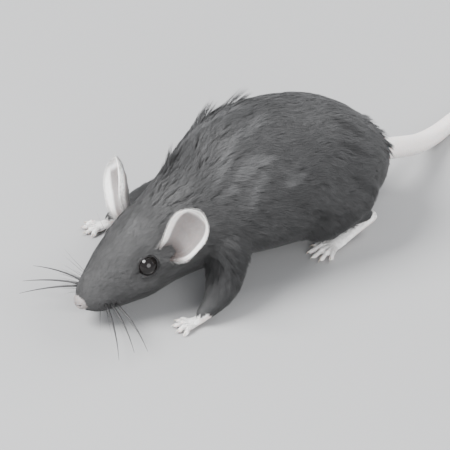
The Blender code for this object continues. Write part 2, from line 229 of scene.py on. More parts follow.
def mirrored(place, outward):
    """A place or way given for the left side, on the left for 1 and on the right for -1."""
    return np.array(place) * (outward, 1.0, 1.0)


def circle(count):
    """Even angles once round, in radians."""
    return 2 * np.pi * np.arange(count) / count


def swung(angles, first, second):
    """Directions at angles from a first way towards a second one square to it."""
    return np.cos(angles)[..., None] * first + np.sin(angles)[..., None] * second


def flattened(vectors, outs):
    """Vectors laid flat on surfaces that face outs."""
    return vectors - outs * np.sum(vectors * outs, axis=-1, keepdims=True)


def mixed(first, second, share):
    share = np.asarray(share)[..., None]
    return np.asarray(first) * (1.0 - share) + np.asarray(second) * share


def smooth_rows(rows, steps):
    """Rows of numbers along the smooth curve (Catmull-Rom) that runs through the given rows."""
    rows = np.asarray(rows, float)
    ends = np.vstack([2 * rows[0] - rows[1], rows, 2 * rows[-1] - rows[-2]])
    shares = np.linspace(0.0, 1.0, steps, endpoint=False)[:, None]
    pieces = []
    for before, a, b, after in zip(ends, ends[1:], ends[2:], ends[3:]):
        linear = 0.5 * shares * (b - before)
        square = 0.5 * shares**2 * (2 * before - 5 * a + 4 * b - after)
        cube = 0.5 * shares**3 * (3 * a - before - 3 * b + after)
        pieces.append(a + linear + square + cube)
    return np.vstack([*pieces, rows[-1:]])


def directions(points):
    return unit(np.gradient(points, axis=0))


# ---------------------------------------------------------------- meshes


def scene_object(name, data):
    obj = bpy.data.objects.new(name, data)
    bpy.context.scene.collection.objects.link(obj)
    return obj


def form_object(name, form):
    """An object of a mesh that was put together in bmesh. The form is used up."""
    mesh = bpy.data.meshes.new(name)
    form.to_mesh(mesh)
    form.free()
    return scene_object(name, mesh)


def grid_object(name, points, ring=False):
    """A skin over rings of points in table units, with closed ends or joined end to end."""
    rows, count = points.shape[:2]
    form = bmesh.new()
    verts = [form.verts.new(point) for point in placed(points.reshape(-1, 3))]
    for row in range(rows if ring else rows - 1):
        for i in range(count):
            a, b = row * count + i, row * count + (i + 1) % count
            c, d = (b + count) % len(verts), (a + count) % len(verts)
            form.faces.new((verts[a], verts[b], verts[c], verts[d]))
    if not ring:
        form.faces.new(verts[:count])
        form.faces.new(verts[-count:])
    bmesh.ops.recalc_face_normals(form, faces=form.faces)
    return form_object(name, form)


def tube_rows(points, radii, sides, wides=None, floor=None):
    """Rings round a path, each turned no further than the path turns."""
    along = directions(points)
    side = np.cross(along[0], (0.0, 0.0, 1.0))
    rings = []
    angles = circle(sides)
    wides = np.ones(len(points)) if wides is None else wides
    for point, radius, way, wide in zip(points, radii, along, wides):
        side = unit(side - way * (side @ way))
        lift = np.cross(side, way)
        spread_out = np.outer(np.cos(angles) * wide, side) + np.outer(np.sin(angles), lift)
        rings.append(point + radius * spread_out)
    rings = np.array(rings)
    if floor is not None:
        rings[..., 2] = np.maximum(rings[..., 2], floor)
    return rings


def chain(name, stations, steps=6, sides=20, floor=None):
    """A tube with round ends through stations of side, behind, height, radius and, if it is not
    round, its width over its height."""
    rows = smooth_rows(stations, steps)
    points, radii = rows[:, :3], rows[:, 3]
    wides = rows[:, 4] if rows.shape[1] > 4 else np.ones(len(rows))
    along = directions(points)
    turns = np.linspace(0.15, math.pi / 2, 5)[:-1]
    reach = np.cos(turns)[:, None]
    starts = points[0] - along[0] * radii[0] * wides[0] * reach
    ends = points[-1] + along[-1] * radii[-1] * wides[-1] * reach[::-1]
    round_end = np.sin(turns)
    thick = np.concatenate([radii[0] * round_end, radii, radii[-1] * round_end[::-1]])
    wide = np.concatenate([np.full(4, wides[0]), wides, np.full(4, wides[-1])])
    path = np.vstack([starts, points, ends])
    return grid_object(name, tube_rows(path, thick, sides, wide, floor))


def modified(obj, *steps):
    """The object after modifiers, each given as its kind and its settings. It is used up."""
    for kind, settings in steps:
        step = obj.modifiers.new(kind.lower(), kind)
        for setting, value in settings.items():
            setattr(step, setting, value)
    name = obj.name
    graph = bpy.context.evaluated_depsgraph_get()
    mesh = bpy.data.meshes.new_from_object(obj.evaluated_get(graph))
    bpy.data.objects.remove(obj)
    return scene_object(name, mesh)


def joined(name, objects):
    """One object that holds the given ones' meshes. They are used up."""
    form = bmesh.new()
    for obj in objects:
        form.from_mesh(obj.data)
        bpy.data.objects.remove(obj)
    return form_object(name, form)


def fused(name, objects, voxel, smoothing):
    """The objects grown into one closed body with smooth joins."""
    grow = ("REMESH", {"mode": "VOXEL", "voxel_size": voxel * MM})
    smooth = ("SMOOTH", {"factor": 0.5, "iterations": smoothing})
    return modified(joined(name, objects), grow, smooth)


def united(obj, others):
    """One skin over the first object and the others, with no seam between them."""
    cutter = joined("others", others)
    obj = modified(obj, ("BOOLEAN", {"operation": "UNION", "solver": "MANIFOLD", "object": cutter}))
    bpy.data.objects.remove(cutter)
    return obj


def softened(obj):
    """The trunk and the tops of the legs smoothed until the legs run into it without a crease."""
    points, _ = points_of(obj)
    shares = blend(points[:, 1], 30.0, 40.0) * blend(points[:, 2], 4.0, 8.0)
    group = obj.vertex_groups.new(name="soft")
    for index, share in enumerate(shares):
        group.add([index], float(share), "REPLACE")
    smooth = {"vertex_group": "soft", "factor": 0.5, "iterations": SOFTENING}
    return modified(obj, ("SMOOTH", smooth))


def numbers_of(parts, key, width=1, kind=np.int32):
    """A number or a row of numbers for each of a mesh's parts."""
    numbers = np.empty(len(parts) * width, kind)
    parts.foreach_get(key, numbers)
    return numbers.reshape(-1, width) if width > 1 else numbers


def points_of(obj):
    """An object's points and their normals, in table units."""
    verts = obj.data.vertices
    points, normals = (numbers_of(verts, key, 3, float) for key in ("co", "normal"))
    return points / MM - (MIDLINE, NOSE, 0.0), normals


def set_points(obj, points):
    obj.data.vertices.foreach_set("co", placed(points).astype(np.float32).ravel())
    obj.data.update()


def set_colours(mesh, name, colours):
    """A colour for each point, as an attribute that the materials read."""
    rgba = np.ones((len(colours), 4), np.float32)
    rgba[:, :3] = colours
    layer = mesh.attributes.new(name, "FLOAT_COLOR", "POINT")
    layer.data.foreach_set("color", rgba.ravel())


# ---------------------------------------------------------------- body and head

SPINE = smooth_rows(list(BODY.values()), 6)
SPINE_WAYS = directions(SPINE[:, :2])


def body_form():
    """The trunk, neck and head under the coat, each ring square to the line of their middles."""
    y, z, width, up, down, coat = (SPINE[:, i, None] for i in range(6))
    back, rise = SPINE_WAYS[:, 0, None], SPINE_WAYS[:, 1, None]
    angles = circle(48)[None]
    lift = np.cos(angles) * np.where(np.cos(angles) > 0, up - coat, down - coat)
    rings = np.stack([(width - coat) * np.sin(angles), y - lift * rise, z + lift * back], axis=-1)
    return grid_object("body_form", rings)


def leg_forms():
    forms = []
    for name, stations in LEGS.items():
        bare = [(x, y, z, radius - coat) for (x, y, z, radius), coat in zip(stations, LEG_COAT)]
        forms.append(chain(name + "_form", bare))
    return forms


def foot_sizes(name):
    """The sizes that a foot shares with its pair."""
    return FOOT_SIZES[name.split("_")[0]]


def foot_line(name):
    """A foot's heel as a point on the floor, the way it points and the way to its outer side."""
    _, heel, turn, _ = FEET[name]
    outward = 1.0 if heel[0] > 0 else -1.0
    angle = math.radians(turn)
    forward = np.array((outward * math.sin(angle), -math.cos(angle), 0.0))
    across = np.array((outward * math.cos(angle), math.sin(angle), 0.0))
    return np.array((*heel, 0.0)), forward, across


def heel_raised(name, share):
    """How far a foot's sole is off the floor at a share of its palm's length."""
    return FEET[name][3] * np.clip(1.0 - share, 0.0, 1.0) ** 1.3


def toe_lines(name):
    """For each toe of a foot, its root on the floor, the way it points and its length."""
    sizes = foot_sizes(name)
    heel, forward, across = foot_line(name)
    lines = []
    for turn, length, offset in sizes["toes"]:
        angle = math.radians(turn)
        way = forward * math.cos(angle) + across * math.sin(angle)
        root = heel + forward * (sizes["palm"] - 0.6) + across * offset * 1.15
        lines.append((root, way, length))
    return lines


def foot_forms(name):
    """The palm with its pads, and the toes with a knuckle and a pad each."""
    sizes = foot_sizes(name)
    heel, forward, _ = foot_line(name)
    sole = []
    for share, width, height in sizes["sole"]:
        x, y, _ = heel + forward * sizes["palm"] * share
        raised = heel_raised(name, share)
        sole.append((x, y, raised + 0.46 * height, 0.5 * height, (width - 0.1) / (0.5 * height)))
    forms = [chain(name + "_palm", sole, floor=LOWEST["foot"])]
    for root, way, length in toe_lines(name):
        stations = []
        for share, height, thick in TOE_SHAPE:
            x, y, _ = root + way * length * share
            stations.append((x, y, height, sizes["toe"] * thick))
        forms.append(chain(name + "_toe", stations, steps=3, sides=12, floor=LOWEST["foot"]))
    return forms


def eye_axes(outward):
    """The middle of an eye, the way it looks, the way back along the head, and the third way."""
    middle = mirrored(EYE["place"], outward)
    looks = unit(mirrored(EYE_LOOKS, outward))
    back = np.array(EYE_BACK)
    back = unit(back - looks * (back @ looks))
    rise = np.cross(back, looks) * outward
    return middle, looks, back, rise if rise[2] > 0 else -rise


def lid_opening(turn):
    """Half the angle of the gap between the lids in each direction round the eye, and its reach."""
    along, across = EYE_OPENING
    corner = np.maximum(-np.cos(turn - 0.25), 0.0) ** 14
    opening = 1.0 / np.hypot(np.cos(turn) / along, np.sin(turn) / across)
    return opening * (1.0 + EYE_CORNER["wider"] * corner), 1.0 + EYE_CORNER["off"] * corner


def lid_share(points, outward):
    """How far round an eye its points lie, 1 on the edge of its lids, with their distances and
    directions. Towards the front corner distances are shortened and directions lengthened."""
    middle, looks, back, rise = eye_axes(outward)
    from_eye = points - middle
    distance = np.linalg.norm(from_eye, axis=1)
    ways = from_eye / distance[:, None]
    turn = np.arctan2(ways @ rise, ways @ back)
    away = np.degrees(np.arccos(np.clip(ways @ looks, -1.0, 1.0)))
    opening, reach = lid_opening(turn)
    return away / opening, distance / reach, ways * reach[:, None]


def open_lids(points):
    """Sinks the skin behind each eye's opening, and raises it softly towards the lids round it."""
    radius = EYE["radius"]
    for outward in SIDES.values():
        share, distance, ways = lid_share(points, outward)
        inside = blend(share, 1.04, 0.92)
        lid = radius + LID_THICK - 0.25 * np.maximum(share - 1.0, 0.0)
        target = lid * (1.0 - inside) + radius * SOCKET * inside
        weight = blend(share, 1.7, 1.05) * blend(distance, 1.95 * radius, 1.3 * radius)
        points = points + ways * ((target - distance) * weight)[:, None]
    return points


FACE_LUMPS = (  # place on the left half of the face, size, how far it stands out
    ((3.6, 4.6, 6.9), 2.1, 0.6),  # whisker pad
    ((1.4, 2.0, 5.9), 1.0, 0.3),  # upper lip
    ((7.0, 15.5, 9.0), 4.0, 0.6),  # cheek
    ((5.2, 15.0, 19.2), 2.2, 0.3),  # brow
    ((6.8, 12.0, 13.8), 1.6, -0.25),  # hollow in front of the eye
    ((5.2, 8.6, 11.2), 1.6, -0.2),  # hollow behind the whisker pad
    ((0.0, 10.0, 16.6), 3.0, 0.25),  # forehead
    ((10.0, 21.8, 16.8), 2.6, 0.6),  # mound below the ear
)
MOUTH = ((1.4, 5.6), (3.0, 5.0), (5.0, 4.9), (7.0, 5.4), (8.6, 6.4))  # behind the nose, height
CUP = {"up": 2.6, "ahead": 1.4, "size": 2.3, "depth": 1.9}  # the hollow at the foot of an ear


def from_cup(points, outward):
    """How far each point is from the hollow at the foot of an ear."""
    root, up, facing, _ = ear_axes("left" if outward > 0 else "right")
    return np.linalg.norm(points - (root + CUP["up"] * up + CUP["ahead"] * facing), axis=1)


def from_pad(points, size):
    """How far each point is from the middle of the nose pad: 1 on its skin, grown by a size."""
    radii = np.array(NOSE_PAD["radii"]) * size
    return np.linalg.norm((points - NOSE_PAD["place"]) / radii, axis=1)


def from_nostril(points, hole, outward):
    """How far each point is from a nostril's middle, over the nostril's half size."""
    slant = (points[..., 0] - hole[0]) * outward
    rise = points[..., 2] - hole[2] - NOSTRIL["slant"] * slant
    return np.hypot(slant / NOSTRIL["half"][0], rise / NOSTRIL["half"][1])


def over_mouth(points):
    """How far each point lies above the line between the lips."""
    return points[:, 2] - np.interp(points[:, 1], *np.transpose(MOUTH))


def sculpt_head(points, normals):
    """Whisker pads, cheeks, brows and the mouth, with its lower lip set back."""
    push = np.zeros(len(points))
    for place, size, height in FACE_LUMPS:
        for outward in SIDES.values():
            away = np.linalg.norm(points - mirrored(place, outward), axis=1)
            push += (0.5 if place[0] == 0.0 else 1.0) * height * bell(away, size)
    for outward in SIDES.values():
        push -= CUP["depth"] * bell(from_cup(points, outward), CUP["size"])
    behind, height = points[:, 1], points[:, 2]
    from_mouth = over_mouth(points)
    along = blend(behind, 1.0, 1.7) * blend(behind, 9.2, 7.6)
    push -= 0.5 * along * bell(from_mouth, 0.22)  # between the lips
    push += 0.1 * along * bell(from_mouth - 0.5, 0.4)  # upper lip
    push -= 0.3 * along * blend(from_mouth, 0.0, -0.25) * blend(behind, 8.0, 3.0)  # lower lip
    cleft = bell(points[:, 0], 0.22) * blend(height, 6.4, 6.0) * blend(from_mouth, -0.2, 0.1)
    push -= 0.25 * cleft
    return points + normals * push[:, None]


def nose_pad():
    """The bare pad round the nostrils, notched down its middle, with a nostril in each side."""
    rise = np.linspace(-0.5 * np.pi, 0.5 * np.pi, 64)[1:-1]
    high, turn = np.meshgrid(rise, circle(96), indexing="ij")
    level = np.cos(high)
    ways = np.stack([level * np.cos(turn), level * np.sin(turn), np.sin(high)], axis=-1)
    points = np.sign(ways) * np.abs(ways) ** 0.92 * NOSE_PAD["radii"]
    middle = bell(points[..., 0], 0.2) * (points[..., 1] < 0)
    points[..., 1] += 0.34 * middle * blend(points[..., 2], 0.7, -0.2)
    x, z = points[..., 0], points[..., 2]
    grain = np.sin(9.0 * x + 4.0 * z) * np.sin(11.0 * z - 3.0 * x)
    points *= (1.0 + 0.012 * grain)[..., None]
    for outward in SIDES.values():
        away = from_nostril(points, mirrored(NOSTRIL["place"], outward), outward)
        sink = np.exp(-(away**2)) * (points[..., 1] < 0.35)
        points[..., 1] += NOSTRIL["depth"] * sink
        points[..., 0] -= 0.1 * outward * sink
        points[..., 1] -= 0.05 * bell(away - 1.6, 0.5) * (points[..., 1] < 0.3)
    return grid_object("nose_pad", points + NOSE_PAD["place"])


def lid_rims():
    """The bare rims of the eyelids, a soft tube along the edge of each eye's opening."""
    rims = []
    turn = circle(72)
    for outward in SIDES.values():
        middle, looks, back, rise = eye_axes(outward)
        opening, reach = lid_opening(turn)
        ways = swung(np.radians(opening), looks, swung(turn, back, rise))
        path = middle + ways * ((EYE["radius"] + 0.02) * reach)[:, None]
        tangents = np.roll(path, -1, axis=0) - np.roll(path, 1, axis=0)
        rings = []
        for point, way, tangent in zip(path, ways, tangents):
            side = unit(np.cross(way, tangent))
            rings.append(point + LID_RIM * swung(circle(10), way, side))
        rims.append(grid_object("lid_rim", np.array(rings), ring=True))
    return rims


def ear_axes(side):
    """An ear's root, its ways up and open, and the way across it."""
    up, facing = unit(EAR_WAYS[side])
    facing = unit(facing - up * (facing @ up))
    return mirrored(EAR["place"], SIDES[side]), up, facing, np.cross(up, facing)


def ear_sheet(ear_side):
    """The middle of an ear's thin shell: rows from root to tip, columns from edge to edge."""
    root, up, facing, across = ear_axes(ear_side)
    heights = 1.0 - (1.0 - np.linspace(-0.12, 0.999, EAR_ROWS)) ** 1.25
    round_top = np.sqrt(np.clip(1.0 - ((heights - 0.58) / 0.42) ** 2, 0.0, 1.0))
    low = 0.68 + 0.32 * np.sin(0.5 * np.pi * np.clip(heights / 0.58, 0.0, 1.0)) ** 0.6
    round_root = np.sqrt(np.clip(1.0 - (np.maximum(0.17 - heights, 0.0) / 0.3) ** 2, 0.0, 1.0))
    width = np.where(heights > 0.58, round_top, low) * round_root
    half = (0.5 * EAR["width"] - 0.15) * width[:, None]
    tall = heights[:, None]
    held = np.clip(tall, 0.0, 1.0)
    curl = np.radians(95.0 - 52.0 * tall)
    radius = half / curl * 1.12
    share = np.linspace(-1.0, 1.0, EAR_COLUMNS)[None]
    side = radius * np.sin(curl * share)
    # The cup with its belly, then its turned edge, its two folds and its fine unevenness.
    ahead = radius * (1.0 - np.cos(curl * share)) - 1.2 * np.sin(np.pi * held)
    edge = np.maximum(np.abs(share) ** 6, blend(tall, 0.9, 1.0))
    ahead = ahead + 0.35 * edge * blend(tall, 0.1, 0.4)
    folds = bell(share - 0.34 - 0.2 * tall, 0.1) - 0.8 * bell(share + 0.3 + 0.25 * tall, 0.12)
    ahead = ahead + 0.3 * folds * blend(tall, 0.85, 0.45)
    ahead = ahead + 0.05 * np.sin(26.0 * tall + 3.0 * share) * blend(np.abs(share), 0.9, 0.5)
    lean = EAR["length"] * tall * np.ones_like(share)
    parts = lean[..., None] * up + side[..., None] * across + ahead[..., None] * facing
    parts[..., 0] -= SIDES[ear_side] * (EAR["bend"] * np.clip(1.0 - held / 0.3, 0.0, 1.0) ** 2)
    return root + parts


def sheet_normals(sheet, facing):
    """A sheet's directions out of the side that faces a given way."""
    normals = unit(np.cross(np.gradient(sheet, axis=0), np.gradient(sheet, axis=1)))
    return normals * np.sign(np.sum(normals * facing, axis=-1).mean())


def ear_shell(ear_side):
    """A thin cupped ear, thicker at its root, with a rounded rim."""
    sheet = ear_sheet(ear_side)
    normal = sheet_normals(sheet, ear_axes(ear_side)[2])
    tall = np.linspace(0.0, 1.0, EAR_ROWS)[:, None]
    share = np.linspace(-1.0, 1.0, EAR_COLUMNS)[None]
    rim = np.sqrt(np.clip(1.0 - share**20, 0.0, 1.0)) * np.sqrt(np.clip(1.0 - tall**30, 0.0, 1.0))
    thick = (EAR["thick"] * (1.0 + 0.9 * (1.0 - tall) ** 2) * (0.25 + 0.75 * rim) * 0.5)[..., None]
    front, back = sheet + normal * thick, sheet - normal * thick
    return grid_object("ear_shell", np.concatenate([front, back[:, ::-1]], axis=1))


def tail_path():
    """The tail's middle and thickness at even steps, a quarter of a scale ring each."""
    rows = smooth_rows(TAIL, 40)
    lengths = np.linalg.norm(np.diff(rows[:, :3], axis=0), axis=1)
    walked = np.concatenate([[0.0], np.cumsum(lengths)])
    steps = np.arange(0.0, walked[-1], TAIL_RING / 4)
    return np.stack([np.interp(steps, walked, rows[:, i]) for i in range(4)], axis=1), steps


def tail_form():
    """The tail with its rings of scales, narrowing into its tip and flat where it rests."""
    rows, steps = tail_path()
    ring = steps / TAIL_RING
    scale = SCALE_HEIGHT * np.abs(np.sin(np.pi * ring)) ** 0.5 * np.clip(rows[:, 3], 0.4, 1.6)
    radii = rows[:, 3] * TAIL_SKIN - 0.06 + scale
    radii[-6:] *= np.sqrt(np.linspace(1.0, 0.1, 6))
    points = tube_rows(rows[:, :3], radii, TAIL_SIDES)
    count = np.arange(TAIL_SIDES)[None]
    notch = 0.015 * np.cos(np.pi * (count + np.floor(ring)[:, None]))
    middle = rows[:, None, :3]
    points = middle + (points - middle) * (1.0 + notch[..., None])
    points[..., 2] = np.maximum(points[..., 2], 0.0)
    return grid_object("tail_form", points)


def body_skin():
    """The body, legs and feet as one skin with the head's detail."""
    body = softened(fused("skin_body", [body_form(), *leg_forms()], BODY_VOXEL, 8))
    feet = [form for foot in FEET for form in foot_forms(foot)]
    body = fused("skin_body", [body, *feet], SKIN_VOXEL, 2)
    points, normals = points_of(body)
    points = open_lids(sculpt_head(points, normals))
    points[:, 2] = np.maximum(points[:, 2], 0.0)
    set_points(body, points)
    ratio = BODY_TRIANGLES / (2 * len(body.data.polygons))
    return modified(body, ("DECIMATE", {"ratio": ratio}))


def whole_skin(body):
    """The body's skin with the nose pad, the lids, the ears and the tail grown on."""
    ears = [ear_shell(side) for side in SIDES]
    skin = united(body, [nose_pad(), *ears, tail_form()])
    return united(skin, lid_rims())


# ---------------------------------------------------------------- eyes, claws and whiskers


def eyeball(side):
    """A bulging black eye: a ball with the steeper curve of the cornea over its front."""
    middle, looks, back, rise = eye_axes(SIDES[side])
    front, rear = np.linspace(1.0, 70.0, 32), np.linspace(76.0, 178.0, 14)
    opening = np.radians(np.concatenate([front, rear]))
    edge = np.clip(opening / np.radians(CORNEA), 0.0, 1.0)
    cornea = 1.0 + 0.05 * np.cos(edge * np.pi / 2) ** 1.5
    rim = 1.0 - 0.012 * bell(np.degrees(opening) - CORNEA, 5.0)
    radii = EYE["radius"] * 0.97 * cornea * rim
    ways = swung(opening[:, None], looks, swung(circle(64), back, rise)[None])
    ball = grid_object("eyeball_" + side, middle + radii[:, None, None] * ways)
    ball.data.shade_smooth()
    return ball


def claws():
    """Every toe's claw, a fine cone that curves down to the floor."""
    forms = []
    shares = np.linspace(0.0, 1.0, 9)
    radii = CLAW["radius"] * (1.0 - 0.93 * shares**1.3)
    curve = CLAW["curve"]
    for foot in FEET:
        length = foot_sizes(foot)["claw"] + 0.15
        for root, way, toe in toe_lines(foot):
            along = toe - 0.25 + length * np.sin(curve * shares) / math.sin(curve)
            path = root + way * along[:, None]
            path[:, 2] = CLAW["height"] + 0.12 * np.sin(np.pi * shares) - CLAW["drop"] * shares**2
            rows = tube_rows(path, radii, 12, np.full(9, CLAW["flat"]), floor=LOWEST["claw"])
            forms.append(grid_object("claw", rows))
    together = joined("claws", forms)
    together.data.shade_smooth()
    return together


# Whiskers: how far each tip lies outward, ahead and above its root, from the front of a pad back.
LONG_WHISKERS = {
    "left": ((15.2, 3.8, -2.4), (14.8, 0.6, -2.2), (16.0, -1.3, -1.8)),
    "right": ((9.4, 9.4, -1.2), (13.4, 6.6, -1.2), (15.8, 2.9, 0.4)),
}
WHISKER_ROWS = 4
WHISKERS_IN_ROW = 4
WHISKER_ROOT = (4.3, 5.3, 7.1)  # middle of the left whisker pad
WHISKER_THICK = {"long": 0.55, "pad": 0.1, "face": 0.09}
LONG_TAPER = 1.7  # over 1, the long ones keep their thickness further out
FACE_WHISKERS = (  # place, way, length
    ((5.0, 13.8, 17.6), (0.7, -0.2, 0.9), 7.5),
    ((5.2, 14.8, 17.6), (0.8, 0.2, 0.9), 6.5),
    ((2.0, 5.6, 5.4), (0.7, 0.1, -0.8), 3.0),
    ((2.6, 7.0, 5.2), (0.7, 0.2, -0.8), 3.2),
)


def hair_tube(root, way, length, thick, bend, taper=1.0):
    """One tapering hair that bends as it goes."""
    shares = np.linspace(0.0, 1.0, 8)[:, None]
    path = root + way * length * shares + bend * shares**2
    path[:, 2] = np.maximum(path[:, 2], LOWEST["whisker"])
    return tube_rows(path, 0.5 * thick * (1.0 - 0.88 * shares[:, 0] ** taper), 5)


def tubes_object(name, tubes):
    """Many tubes of the same number of rings as one mesh."""
    tubes = np.array(tubes)
    index = np.arange(tubes[..., 0].size).reshape(tubes.shape[:3])
    turned_on = np.roll(index, -1, axis=2)
    quads = np.stack([index[:, :-1], turned_on[:, :-1], turned_on[:, 1:], index[:, 1:]], axis=-1)
    faces = [*quads.reshape(-1, 4).tolist(), *index[:, 0, ::-1].tolist(), *index[:, -1].tolist()]
    mesh = bpy.data.meshes.new(name)
    mesh.from_pydata(placed(tubes.reshape(-1, 3)).tolist(), [], faces)
    mesh.shade_smooth()
    return scene_object(name, mesh)


def whisker_roots(outward, tree):
    """Places on the whisker pad in rows from front to back, each with its row and column."""
    places = []
    for row in range(WHISKER_ROWS):
        for column in range(WHISKERS_IN_ROW):
            behind = WHISKER_ROOT[1] + 1.25 * (column - 1.35) + 0.2 * row
            height = WHISKER_ROOT[2] + 0.8 * (1.6 - row) + 0.16 * column
            start = (WHISKER_ROOT[0] * outward * 1.6, behind, height)
            root = on_skin(tree, start, (-outward, 0.0, 0.0))
            if root is not None:
                places.append((row, column, root))
    return places


def long_whisker_roots(outward, tree):
    """Places that a pad's three longest whiskers grow from."""
    first = 4.6 + 0.6 * outward
    side = WHISKER_ROOT[0] * 1.6 * outward
    starts = [(side, first + 1.25 * n, 7.7 - 0.3 * n) for n in range(3)]
    return [on_skin(tree, start, (-outward, 0.0, 0.0)) for start in starts]


def pad_whiskers(outward, tree, draw):
    """The fine whiskers of one pad, longer towards its back."""
    for row, column, root in whisker_roots(outward, tree):
        share = column / (WHISKERS_IN_ROW - 1)
        length = (6.5 + 6.5 * share) * draw.uniform(0.85, 1.1)
        way = unit(np.array((outward, -0.75 + 0.7 * share, 0.12 * (1.4 - row))))
        bend = np.array((-0.1 * outward, 0.12, -0.16)) * length * draw.uniform(0.7, 1.3)
        yield hair_tube(root - way * 0.3, way, length, WHISKER_THICK["pad"], bend)


def long_whiskers(side, tree):
    """The three long whiskers of one pad."""
    outward = SIDES[side]
    for root, (out, ahead, lift) in zip(long_whisker_roots(outward, tree), LONG_WHISKERS[side]):
        tip = np.array((out * outward, -ahead, lift))
        way, length = unit(tip), np.linalg.norm(tip)
        bend = np.array((0.0, -0.16, -0.14)) * length
        yield hair_tube(root - way * 0.3, way, length, WHISKER_THICK["long"], bend, LONG_TAPER)


def face_whiskers(outward, tree):
    """The fine whiskers over one eye and on one side of the chin."""
    for place, way, length in FACE_WHISKERS:
        root = on_skin(tree, mirrored(place, outward * 1.5), (-outward, 0.0, 0.0))
        way = unit(mirrored(way, outward))
        bend = np.array((0.0, 0.5, -0.6)) * 0.25 * length
        yield hair_tube(root - way * 0.2, way, length, WHISKER_THICK["face"], bend)


def whiskers(tree):
    """All the whiskers as one piece."""
    draw = np.random.default_rng(41)
    tubes = []
    for side, outward in SIDES.items():
        tubes += pad_whiskers(outward, tree, draw)
        tubes += long_whiskers(side, tree)
        tubes += face_whiskers(outward, tree)
    return tubes_object("whiskers", tubes)


def skin_tree(obj):
    """A skin's faces for finding the nearest place on it, in table units."""
    points, _ = points_of(obj)
    faces = [tuple(face.vertices) for face in obj.data.polygons]
    return BVHTree.FromPolygons([tuple(point) for point in points], faces)


def on_skin(tree, start, way):
    """Where a line meets the skin, if it does."""
    hit, _, _, _ = tree.ray_cast(Vector(start), Vector(way))
    return None if hit is None else np.array(hit)


# ---------------------------------------------------------------- markings and painted light

GREY = 0.04  # the coat of the back and flanks
COLOURS = {
    "back": (GREY, GREY, GREY * 1.01),
    "face": (GREY * 1.34, GREY * 1.33, GREY * 1.33),
    # painted shade: the darker band along the belly, the lower flanks and the rump's rear edge
    "belly": (GREY * 0.62, GREY * 0.62, GREY * 0.63),
    "white": (0.86, 0.85, 0.83),
    "ear": (0.21, 0.19, 0.185),
    "ear_rim": (0.88, 0.86, 0.84),
    # painted shade for the ear's funnel and the hollow at its foot
    "ear_canal_shade": (0.06, 0.045, 0.042),
    "nose": (0.235, 0.214, 0.208),
    # painted shade deep in the nostrils
    "nostril_shade": (0.015, 0.012, 0.012),
    # dark lid rims, and painted shade in the eyes' sockets
    "lid": (0.012, 0.011, 0.011),
    "foot": (0.78, 0.7, 0.67),
    "tail": (0.84, 0.79, 0.76),
    "claw": (0.62, 0.57, 0.5),
    "whisker": (0.012, 0.012, 0.013),
}
# Streaks of painted light on the coat: lighter ones are painted sheen on the locks, darker ones
# painted shade between tufts. On the left side, and their twins on the right: behind the nose and
# degrees round from the ridge of the back, at both ends; half width, tone.
SHEEN_AND_SHADE_STREAKS = (
    ((34.0, 28.0), (46.0, 15.0), 1.5, 1.85),
    ((44.5, 21.0), (53.5, 7.0), 1.3, 1.75),
    ((35.5, 38.0), (50.0, 47.0), 1.7, 1.85),
    ((39.5, 66.0), (47.0, 52.0), 1.5, 1.75),
    ((49.5, 66.0), (57.0, 62.0), 1.2, 1.75),
    ((69.5, 24.0), (79.0, 36.0), 1.4, 0.45),
    ((68.0, 48.0), (77.5, 51.0), 1.2, 0.45),
    ((56.0, 92.0), (64.0, 104.0), 1.5, 0.6),
    ((70.0, 80.0), (79.0, 90.0), 1.5, 0.6),
)
# Places where locks stand up: behind the nose, degrees round, reach, how far they stand out.
STANDING = (
    (30.3, -31.0, 2.0, 2.0),
    (40.8, -31.0, 2.2, 2.1),
    (48.2, -30.0, 2.3, 2.1),
    (40.0, 12.0, 3.0, 0.5),
    (83.5, 15.0, 3.0, 1.3),
    (85.0, 40.0, 2.4, 1.2),
    (84.0, -24.0, 2.6, 0.8),
    (24.5, -4.0, 2.8, 0.9),
    (26.5, 26.0, 2.8, 0.8),
    (58.0, 98.0, 3.0, 0.6),
    (64.0, 118.0, 2.6, 0.6),
)


def beside_spine(points, column):
    """A number of the body's table beside each point."""
    return np.interp(points[:, 1], SPINE[:, 0], SPINE[:, column])


def round_body(points):
    """How many degrees each point lies round the body, from the ridge of the back to the left."""
    high = points[:, 2] - beside_spine(points, 1)
    high = high / np.where(high > 0.0, beside_spine(points, 3), beside_spine(points, 4))
    return np.degrees(np.arctan2(points[:, 0] / beside_spine(points, 2), high))


def girth(points):
    """The mean of the body's half width and half height beside each point."""
    return 0.5 * (beside_spine(points, 2) + beside_spine(points, 3))


LEG_PATHS = {  # side, behind, height, radius and coat's depth along each leg
    leg: smooth_rows([(*row, coat) for row, coat in zip(stations, LEG_COAT)], 6)
    for leg, stations in LEGS.items()
}


def strongest(points, fields):
    """At each point, whichever field has the largest share there: its share, way and number."""
    shares, ways, numbers = np.zeros(len(points)), np.zeros_like(points), np.zeros(len(points))
    for share, way, number in fields:
        better = share > shares
        shares = np.where(better, share, shares)
        ways = np.where(better[:, None], way, ways)
        numbers = np.where(better, number, numbers)
    return shares, ways, numbers


def leg_field(points, rows):
    """How far each point belongs to a leg, with the leg's lie and its coat's depth."""
    apart = np.linalg.norm(points[:, None] - rows[None, :, :3], axis=2)
    nearest = np.argmin(apart - rows[None, :, 3], axis=1)
    gap = apart[np.arange(len(points)), nearest] - rows[nearest, 3] + rows[nearest, 4]
    share = blend(gap, 2.6, 0.3) * blend(nearest / (len(rows) - 1.0), 0.2, 0.7)
    return share, directions(rows[:, :3])[nearest], rows[nearest, 4]


def leg_fields(points):
    """The same for whichever leg is nearest."""
    return strongest(points, (leg_field(points, rows) for rows in LEG_PATHS.values()))


